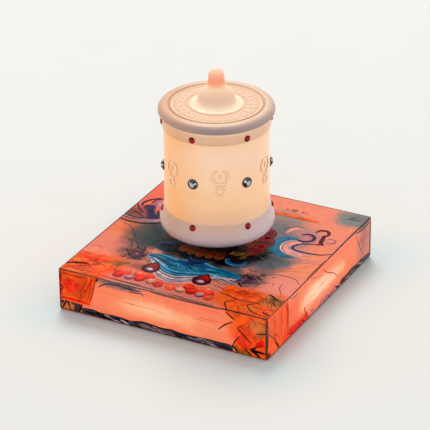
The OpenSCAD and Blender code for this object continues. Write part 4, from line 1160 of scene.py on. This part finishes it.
def cut_stone(facets_by_glint, surface, radius, base, rise, sides):
    """A faceted stone: a girdle, two rows of crown facets and a flat table, with facets given bright, middle
    and dark looks by turns: painted glints and shade standing in for reflections.
    """
    rows = [(1.0, 0.0, 0.0), (1.0, 0.25, 0.0), (0.78, 0.68, 0.5), (0.46, 1.0, 0.0)]
    verts = []
    for share, up, shift in rows:
        for k in range(sides):
            angle = TAU * (k + shift) / sides
            verts.append(surface(radius * share * math.cos(angle), radius * share * math.sin(angle),
                                 base + rise * up))
    for row in range(3):
        for k in range(sides):
            n = (k + 1) % sides
            a, b = row * sides + k, row * sides + n
            c, d = (row + 1) * sides + n, (row + 1) * sides + k
            tone = (k * 2 + row * 3 + k // 3) % 3
            facets_by_glint[tone] += [(verts[a], verts[b], verts[c]), (verts[a], verts[c], verts[d])]
    centre = surface(0, 0, base + rise)
    for k in range(sides):
        pair = verts[3 * sides + k], verts[3 * sides + (k + 1) % sides]
        facets_by_glint[0 if k % 4 else 1].append((pair[0], pair[1], centre))
    floor = surface(0, 0, base)
    for k in range(sides):
        facets_by_glint[2].append((verts[(k + 1) % sides], verts[k], floor))


def stones(name, node, slot, looks, radius, base_r, height, rise, sides, tilt=0.0):
    glint_facets = [[], [], []]
    for k in range(STUDS):
        cut_stone(glint_facets, on_drum(base_r, STUD_TURN - 90 + STUD_PITCH * k, height, tilt), radius, 0, rise,
                  sides)
    verts = []
    faces = []
    indices = []
    for tone, triangles in enumerate(glint_facets):
        for triangle in triangles:
            faces.append((len(verts), len(verts) + 1, len(verts) + 2))
            verts += triangle
            indices.append(tone)
    made = piece(name, verts, faces, "drum", slot, looks, indices, smooth_angle=0)
    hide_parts(node)


def gem_look(name, tone, metallic, roughness, gloss=0.8):
    look = Look(name, Metallic=metallic, Roughness=roughness, Specular_IOR_Level=gloss)
    colour = look.mix(look.remap(look.noise(0.6, 2), 0.35, 0.65), dim(rgb(*tone), 0.75),
                      dim(rgb(*tone), 1.15))
    look.put(colour, look.shader.inputs["Base Color"])
    return look.material


def make_stones():
    # Bright, middle and dark looks for the facets: painted glints and painted shade for the reflections in
    # the cut stones
    clear = [gem_look("crystal_painted_glint", (222, 226, 232), 0.9, 0.06),
             gem_look("crystal_grey", (104, 108, 116), 0.9, 0.08),
             gem_look("crystal_painted_shade", (16, 16, 20), 0.5, 0.08)]
    red = [gem_look("garnet_painted_glint", (190, 0, 6), 0.0, 0.14, 0.3),
           gem_look("garnet", (136, 0, 4), 0.0, 0.14, 0.3),
           gem_look("garnet_painted_shade", (84, 0, 2), 0.0, 0.16, 0.2)]
    stones("cut_crystals", "crystal_studs", "crystal", clear, 3.8, DRUM_R + 0.25,
           middle("crystal_studs", "z"), 2.3, 12)
    stones("upper_garnets", "upper_studs", "red_stone", red, 3.0, DRUM_R + 0.9, middle("upper_studs", "z"),
           1.65, 10)
    stones("lower_garnets", "lower_studs", "red_stone", red, 3.0, DRUM_R + 1.5, FOOT_HIGH.z - 3.3, 1.65, 10,
           14.4)


def make_lid():
    top = LID_HIGH.z
    low = LID_LOW.z
    rim_r = LID_HIGH.x
    inlay_r = box_mm("lid_inlay")[1].x
    groove_r = inlay_r + 1.4
    eye_r = BELL_HIGH.x + 0.6
    under_r = DRUM_R - 3
    rim = bend((rim_r - 2, low + 2), (2, 2), -90, 0, 8) + bend((rim_r - 5, top - 5), (5, 5), 0, 90, 16)
    groove = [(rim_r - 7.4, top), (groove_r + 1.5, top - 0.1)] + bend((groove_r + 0.4, top - 0.1), (1.1, 1.1),
                                                                      0, -180, 10)
    inner = [(inlay_r, top - 0.05), (inlay_r, top - 1.6), (eye_r, top - 1.6), (eye_r, top), (2.2, top),
             (2.2, low + 3), (under_r, low + 3), (under_r, low)]
    # By radius: painted shade in the groove, a painted highlight on the rim's top, painted shade going
    # lavender-grey down the rim's outer side; the left and right tints are painted light
    lid_look = shell_look("lid_resin", "r", [
        (eye_r, (248, 214, 182)), (groove_r - 0.9, (230, 190, 164)), (groove_r - 0.2, (186, 144, 122)),
        (groove_r + 1.3, (230, 190, 160)), (groove_r + 2.6, (248, 212, 182)), (rim_r - 4.4, (230, 190, 164)),
        (rim_r - 2.0, (192, 166, 156)), (rim_r - 0.5, (166, 144, 142)), (rim_r, (152, 134, 136))], 0.62, 0.34,
        ((212, 150, 112), 0.55), ((220, 182, 160), 0.25))
    shell = piece("lid_plate", *lathe(rim + groove + inner, 224), "lid", "lit_lid", [lid_look])
    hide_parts("lid_shell")

    relief = Shapes()
    level = top - 0.95
    relief.add(*lathe([(inlay_r, level - 0.65), (inlay_r, level + 0.3), (inlay_r - 0.35, level + 0.65),
                       (inlay_r - 0.9, level + 0.65), (inlay_r - 1.3, level), (eye_r, level),
                       (eye_r, level - 0.65)], 160))
    section = [(-1, -0.1), (-0.95, 0.3), (-0.5, 0.62), (0.5, 0.62), (0.95, 0.3), (1, -0.1)]
    for k in range(24):
        surface = on_disc(15 * k, level)
        for lean in (-1, 1):
            wave = curve([(0, 26.0), (lean * 2.3, 28.2), (lean * 0.9, 30.8), (lean * 2.9, 33.6),
                          (lean * 0.3, 36.2)], steps=5)
            relief.band(surface, wave, swell(len(wave), 0.7, 0.75), section)
        for start, stop in ((27.2, 29.6), (31.8, 34.8)):
            dot = curve([(0, start), (0, stop)], steps=6)
            relief.band(surface, dot, swell(len(dot), 0.5, 0.9), section)
        tick = curve([(3.9, 25.6), (4.3, 29.6), (4.8, 36.0)], steps=5)
        relief.band(surface, tick, swell(len(tick), 0.4, 0.6), section)
    inlay_look = Look("inlay_resin", **GLOSS)
    # Lighter on the crests of the waves: painted highlight; darker at their foot: painted shade
    colour = inlay_look.ramp(inlay_look.z,
                             [(level - 0.05, rgb(236, 194, 164)), (level + 0.25, rgb(246, 206, 174)),
                                            (level + 0.62, rgb(255, 226, 196))])
    inlay = piece("lid_wave_ring", relief.verts, relief.faces, "lid", "lit_inlay",
                  [inlay_look.lit(colour, 0.6, 0.38)],
                  smooth_angle=50)
    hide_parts("lid_inlay")


def make_bell():
    foot_r, waist_r, neck_r, bud_r = BELL_HIGH.x, 15.6, BUD_HIGH.x, 6.9
    low, high, tip = BELL_LOW.z, BELL_HIGH.z, BUD_HIGH.z
    waist = low + 7.3
    outline = [(foot_r - (foot_r - waist_r) * math.sin(math.radians(a)),
                low + (waist - low) * (1 - math.cos(math.radians(a)))) for a in range(0, 91, 6)]
    outline += [(neck_r + (waist_r - neck_r) * (1 + math.cos(math.radians(12 * k))) / 2,
                 waist + (high - waist) * k / 15)
                for k in range(1, 16)]
    inside = [(4.2, high), (4.2, high - 2), (waist_r - 4, waist + 2), (foot_r - 4, low)]
    # Pale at the upward-facing foot and shoulder, greyer on the steep waist: painted light and shade; the
    # left and right tints are painted light
    bell_look = shell_look("bell_resin", "z", [
        (low, (255, 232, 202)), (low + 1.6, (255, 228, 196)), (low + 4, (238, 202, 176)),
        (waist + 2, (230, 192, 170)),
        (waist + 5, (242, 200, 168)), (high - 2.6, (255, 214, 176)), (high, (252, 190, 150))], 0.5, 0.54,
        ((244, 186, 132), 0.5), ((240, 202, 176), 0.4))
    bell = piece("bell_shell", *lathe(outline + inside, 128), "lid", "lit_bell", [bell_look], smooth_angle=60)
    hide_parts("lid_bell")
    waist_h = (tip - high) * 0.43
    bud = [(0, high)]
    bud += [(bud_r + (neck_r - bud_r) * (1 + math.cos(math.radians(15 * k))) / 2, high + waist_h * k / 12)
            for k in range(13)]
    bud += [(bud_r * math.cos(math.radians(a)),
             high + waist_h + (tip - high - waist_h) * math.sin(math.radians(a)))
            for a in range(6, 91, 6)]
    # Lighter towards the tip: a painted highlight; the warm left tint is painted light
    bud_look = shell_look("finial_resin", "z", [
        (high, (250, 172, 132)), (high + 4, (249, 150, 112)), (high + 8, (250, 166, 130)),
        (tip - 2.0, (252, 200, 168)),
        (tip, (254, 212, 184))], 0.5, 0.57, ((250, 160, 112), 0.2))
    finial = piece("finial_bud", *lathe(bud, 96), "lid", "lit_finial", [bud_look], smooth_angle=60)
    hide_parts("finial")


# ---- carried-over CAD parts ----

def plain_look(name, tone, metallic, roughness, glow=0.0, grain=0.4, stretch=(1, 1, 1)):
    """Metal, rubber or plastic with a faint grain in its colour and surface."""
    look = Look(name, Metallic=metallic, Roughness=roughness)
    spread = look.remap(look.noise(grain, 4, stretch), 0.3, 0.7)
    colour = look.mix(spread, dim(rgb(*tone), 0.86), dim(rgb(*tone), 1.06))
    look.bump(look.noise(grain * 2.5, 3, stretch), 0.12, 0.0001)
    if glow:
        return look.lit(colour, 0.5, glow)
    look.put(colour, look.shader.inputs["Base Color"])
    return look.material


SLOT_LOOKS = {
    "opal": ((255, 236, 206), 0.0, 0.4, 0.7), "tray": ((214, 208, 202), 0.0, 0.55),
    "rubber": ((34, 34, 34), 0.0, 0.85),
    "steel": ((176, 176, 176), 1.0, 0.32), "strip": ((236, 232, 218), 0.0, 0.4),
    "led": ((255, 232, 170), 0.0, 0.3, 1.0),
    "board": ((16, 70, 36), 0.0, 0.35), "chip": ((22, 22, 24), 0.0, 0.4),
    "battery": ((36, 70, 150), 0.0, 0.25),
    "dark_metal": ((46, 34, 32), 0.7, 0.42), "wire": ((160, 30, 24), 0.0, 0.45),
    "white_plastic": ((234, 231, 224), 0.0, 0.4),
    "scroll": ((250, 216, 170), 0.0, 0.7, 0.5), "silver": ((92, 88, 90), 1.0, 0.22),
    "crystal": ((210, 214, 220), 0.6, 0.1),
    "red_stone": ((120, 10, 14), 0.0, 0.15), "lit_print": ((250, 140, 114), 0.0, 0.3, 0.5),
    "lit_foot": ((180, 156, 156), 0.0, 0.3, 0.2), "lit_drum": ((248, 204, 166), 0.0, 0.3, 0.5),
    "lit_band": ((220, 176, 148), 0.0, 0.3, 0.3), "lit_lid": ((180, 160, 160), 0.0, 0.3, 0.2),
    "lit_inlay": ((236, 198, 172), 0.0, 0.3, 0.3), "lit_bell": ((248, 210, 176), 0.0, 0.3, 0.4),
    "lit_finial": ((250, 176, 142), 0.0, 0.3, 0.5),
}


def dress_cad_parts():
    """Every CAD part that stays gets the look of its material slot."""
    made = {}
    for part in frame["record"]["subparts"]:
        slot_name = part["material_slot"]
        if slot_name not in made:
            made[slot_name] = plain_look("slot_" + slot_name, *SLOT_LOOKS[slot_name])
        mesh = frame["nodes"][part["node"]].data
        mesh.materials.clear()
        mesh.materials.append(made[slot_name])


# ---- studio ----

# The view: a camera fitted to the photograph's perspective, in degrees, metres and millimetres of lens
AZIMUTH, ELEVATION, ROLL = 27.68, 27.30, -0.505
AIM = Vector((-0.0018, -0.00095, 0.0665))
DISTANCE = 2.2914
LENS = 221.3


SENSOR = 36
CLIP_END = 20
WORLD_COLOUR, WORLD_STRENGTH = (1.0, 0.99, 0.97, 1), 0.78
KEY_PLACE, KEY_AIM, KEY_SIZE, KEY_POWER = (-1.9, 2.9, 5.05), (0, 0, 0.05), 2.8, 182
KEY_COLOUR = (1.0, 0.99, 0.975)
FLOOR_REACH = 6
FLOOR_COLOURS = (0.745, 0.745, 0.722, 1), (0.755, 0.755, 0.732, 1)
# A greener floor tint near the base: painted colour that cancels the pink light the glowing base casts on the
# floor
FLOOR_NEAR, FLOOR_FADE = (0.625, 0.735, 0.74, 1), 70


def make_camera():
    az, el, roll = (math.radians(angle) for angle in (AZIMUTH, ELEVATION, ROLL))
    back = Vector((math.sin(az) * math.cos(el), -math.cos(az) * math.cos(el), math.sin(el)))
    level = Vector((math.cos(az), math.sin(az), 0))
    up = back.cross(level)
    right_axis = level * math.cos(roll) + up * math.sin(roll)
    up_axis = up * math.cos(roll) - level * math.sin(roll)
    data = bpy.data.cameras.new("camera")
    data.lens = LENS
    data.sensor_width = SENSOR
    data.clip_end = CLIP_END
    camera = bpy.data.objects.new("camera", data)
    turn = Matrix((right_axis, up_axis, back)).transposed().to_4x4()
    camera.matrix_world = Matrix.Translation(AIM + back * DISTANCE) @ turn
    bpy.context.scene.collection.objects.link(camera)
    bpy.context.scene.camera = camera


def area_light(name, place, aim, size, power, tone):
    data = bpy.data.lights.new(name, "AREA")
    data.shape = "DISK"
    data.size = size
    data.energy = power
    data.color = tone
    lamp = bpy.data.objects.new(name, data)
    lamp.location = place
    lamp.rotation_euler = (Vector(place) - Vector(aim)).to_track_quat("Z", "Y").to_euler()
    bpy.context.scene.collection.objects.link(lamp)


def make_studio():
    scene = bpy.context.scene
    scene.view_settings.view_transform = "Standard"
    world = bpy.data.worlds.new("studio")
    world.use_nodes = True
    background = world.node_tree.nodes["Background"]
    background.inputs["Color"].default_value = WORLD_COLOUR
    background.inputs["Strength"].default_value = WORLD_STRENGTH
    scene.world = world
    area_light("key", KEY_PLACE, KEY_AIM, KEY_SIZE, KEY_POWER, KEY_COLOUR)
    mesh = bpy.data.meshes.new("floor")
    corners_of = [(x * FLOOR_REACH, y * FLOOR_REACH, 0) for x, y in ((-1, -1), (1, -1), (1, 1), (-1, 1))]
    mesh.from_pydata(corners_of, [], [(0, 1, 2, 3)])
    floor = bpy.data.objects.new("floor", mesh)
    scene.collection.objects.link(floor)
    look = Look("floor_paper", Roughness=0.9, Specular_IOR_Level=0.1)
    away_x = look.math("MAXIMUM", look.math("SUBTRACT", look.math("ABSOLUTE", look.x), HALF_W), 0)
    away_y = look.math("MAXIMUM", look.math("SUBTRACT", look.math("ABSOLUTE", look.y), HALF_D), 0)
    away = look.distance(away_x, away_y)
    tone = look.mix(look.remap(look.noise(0.01, 2), 0.3, 0.7), *FLOOR_COLOURS)
    tone = look.mix(look.remap(away, 0, FLOOR_FADE, 1.0, 0.0), tone, FLOOR_NEAR)
    look.put(tone, look.shader.inputs["Base Color"])
    mesh.materials.append(look.material)


make_camera()
make_cover()
print_picture()
make_drum()
make_ornaments()
make_stones()
make_lid()
make_bell()
dress_cad_parts()
make_studio()
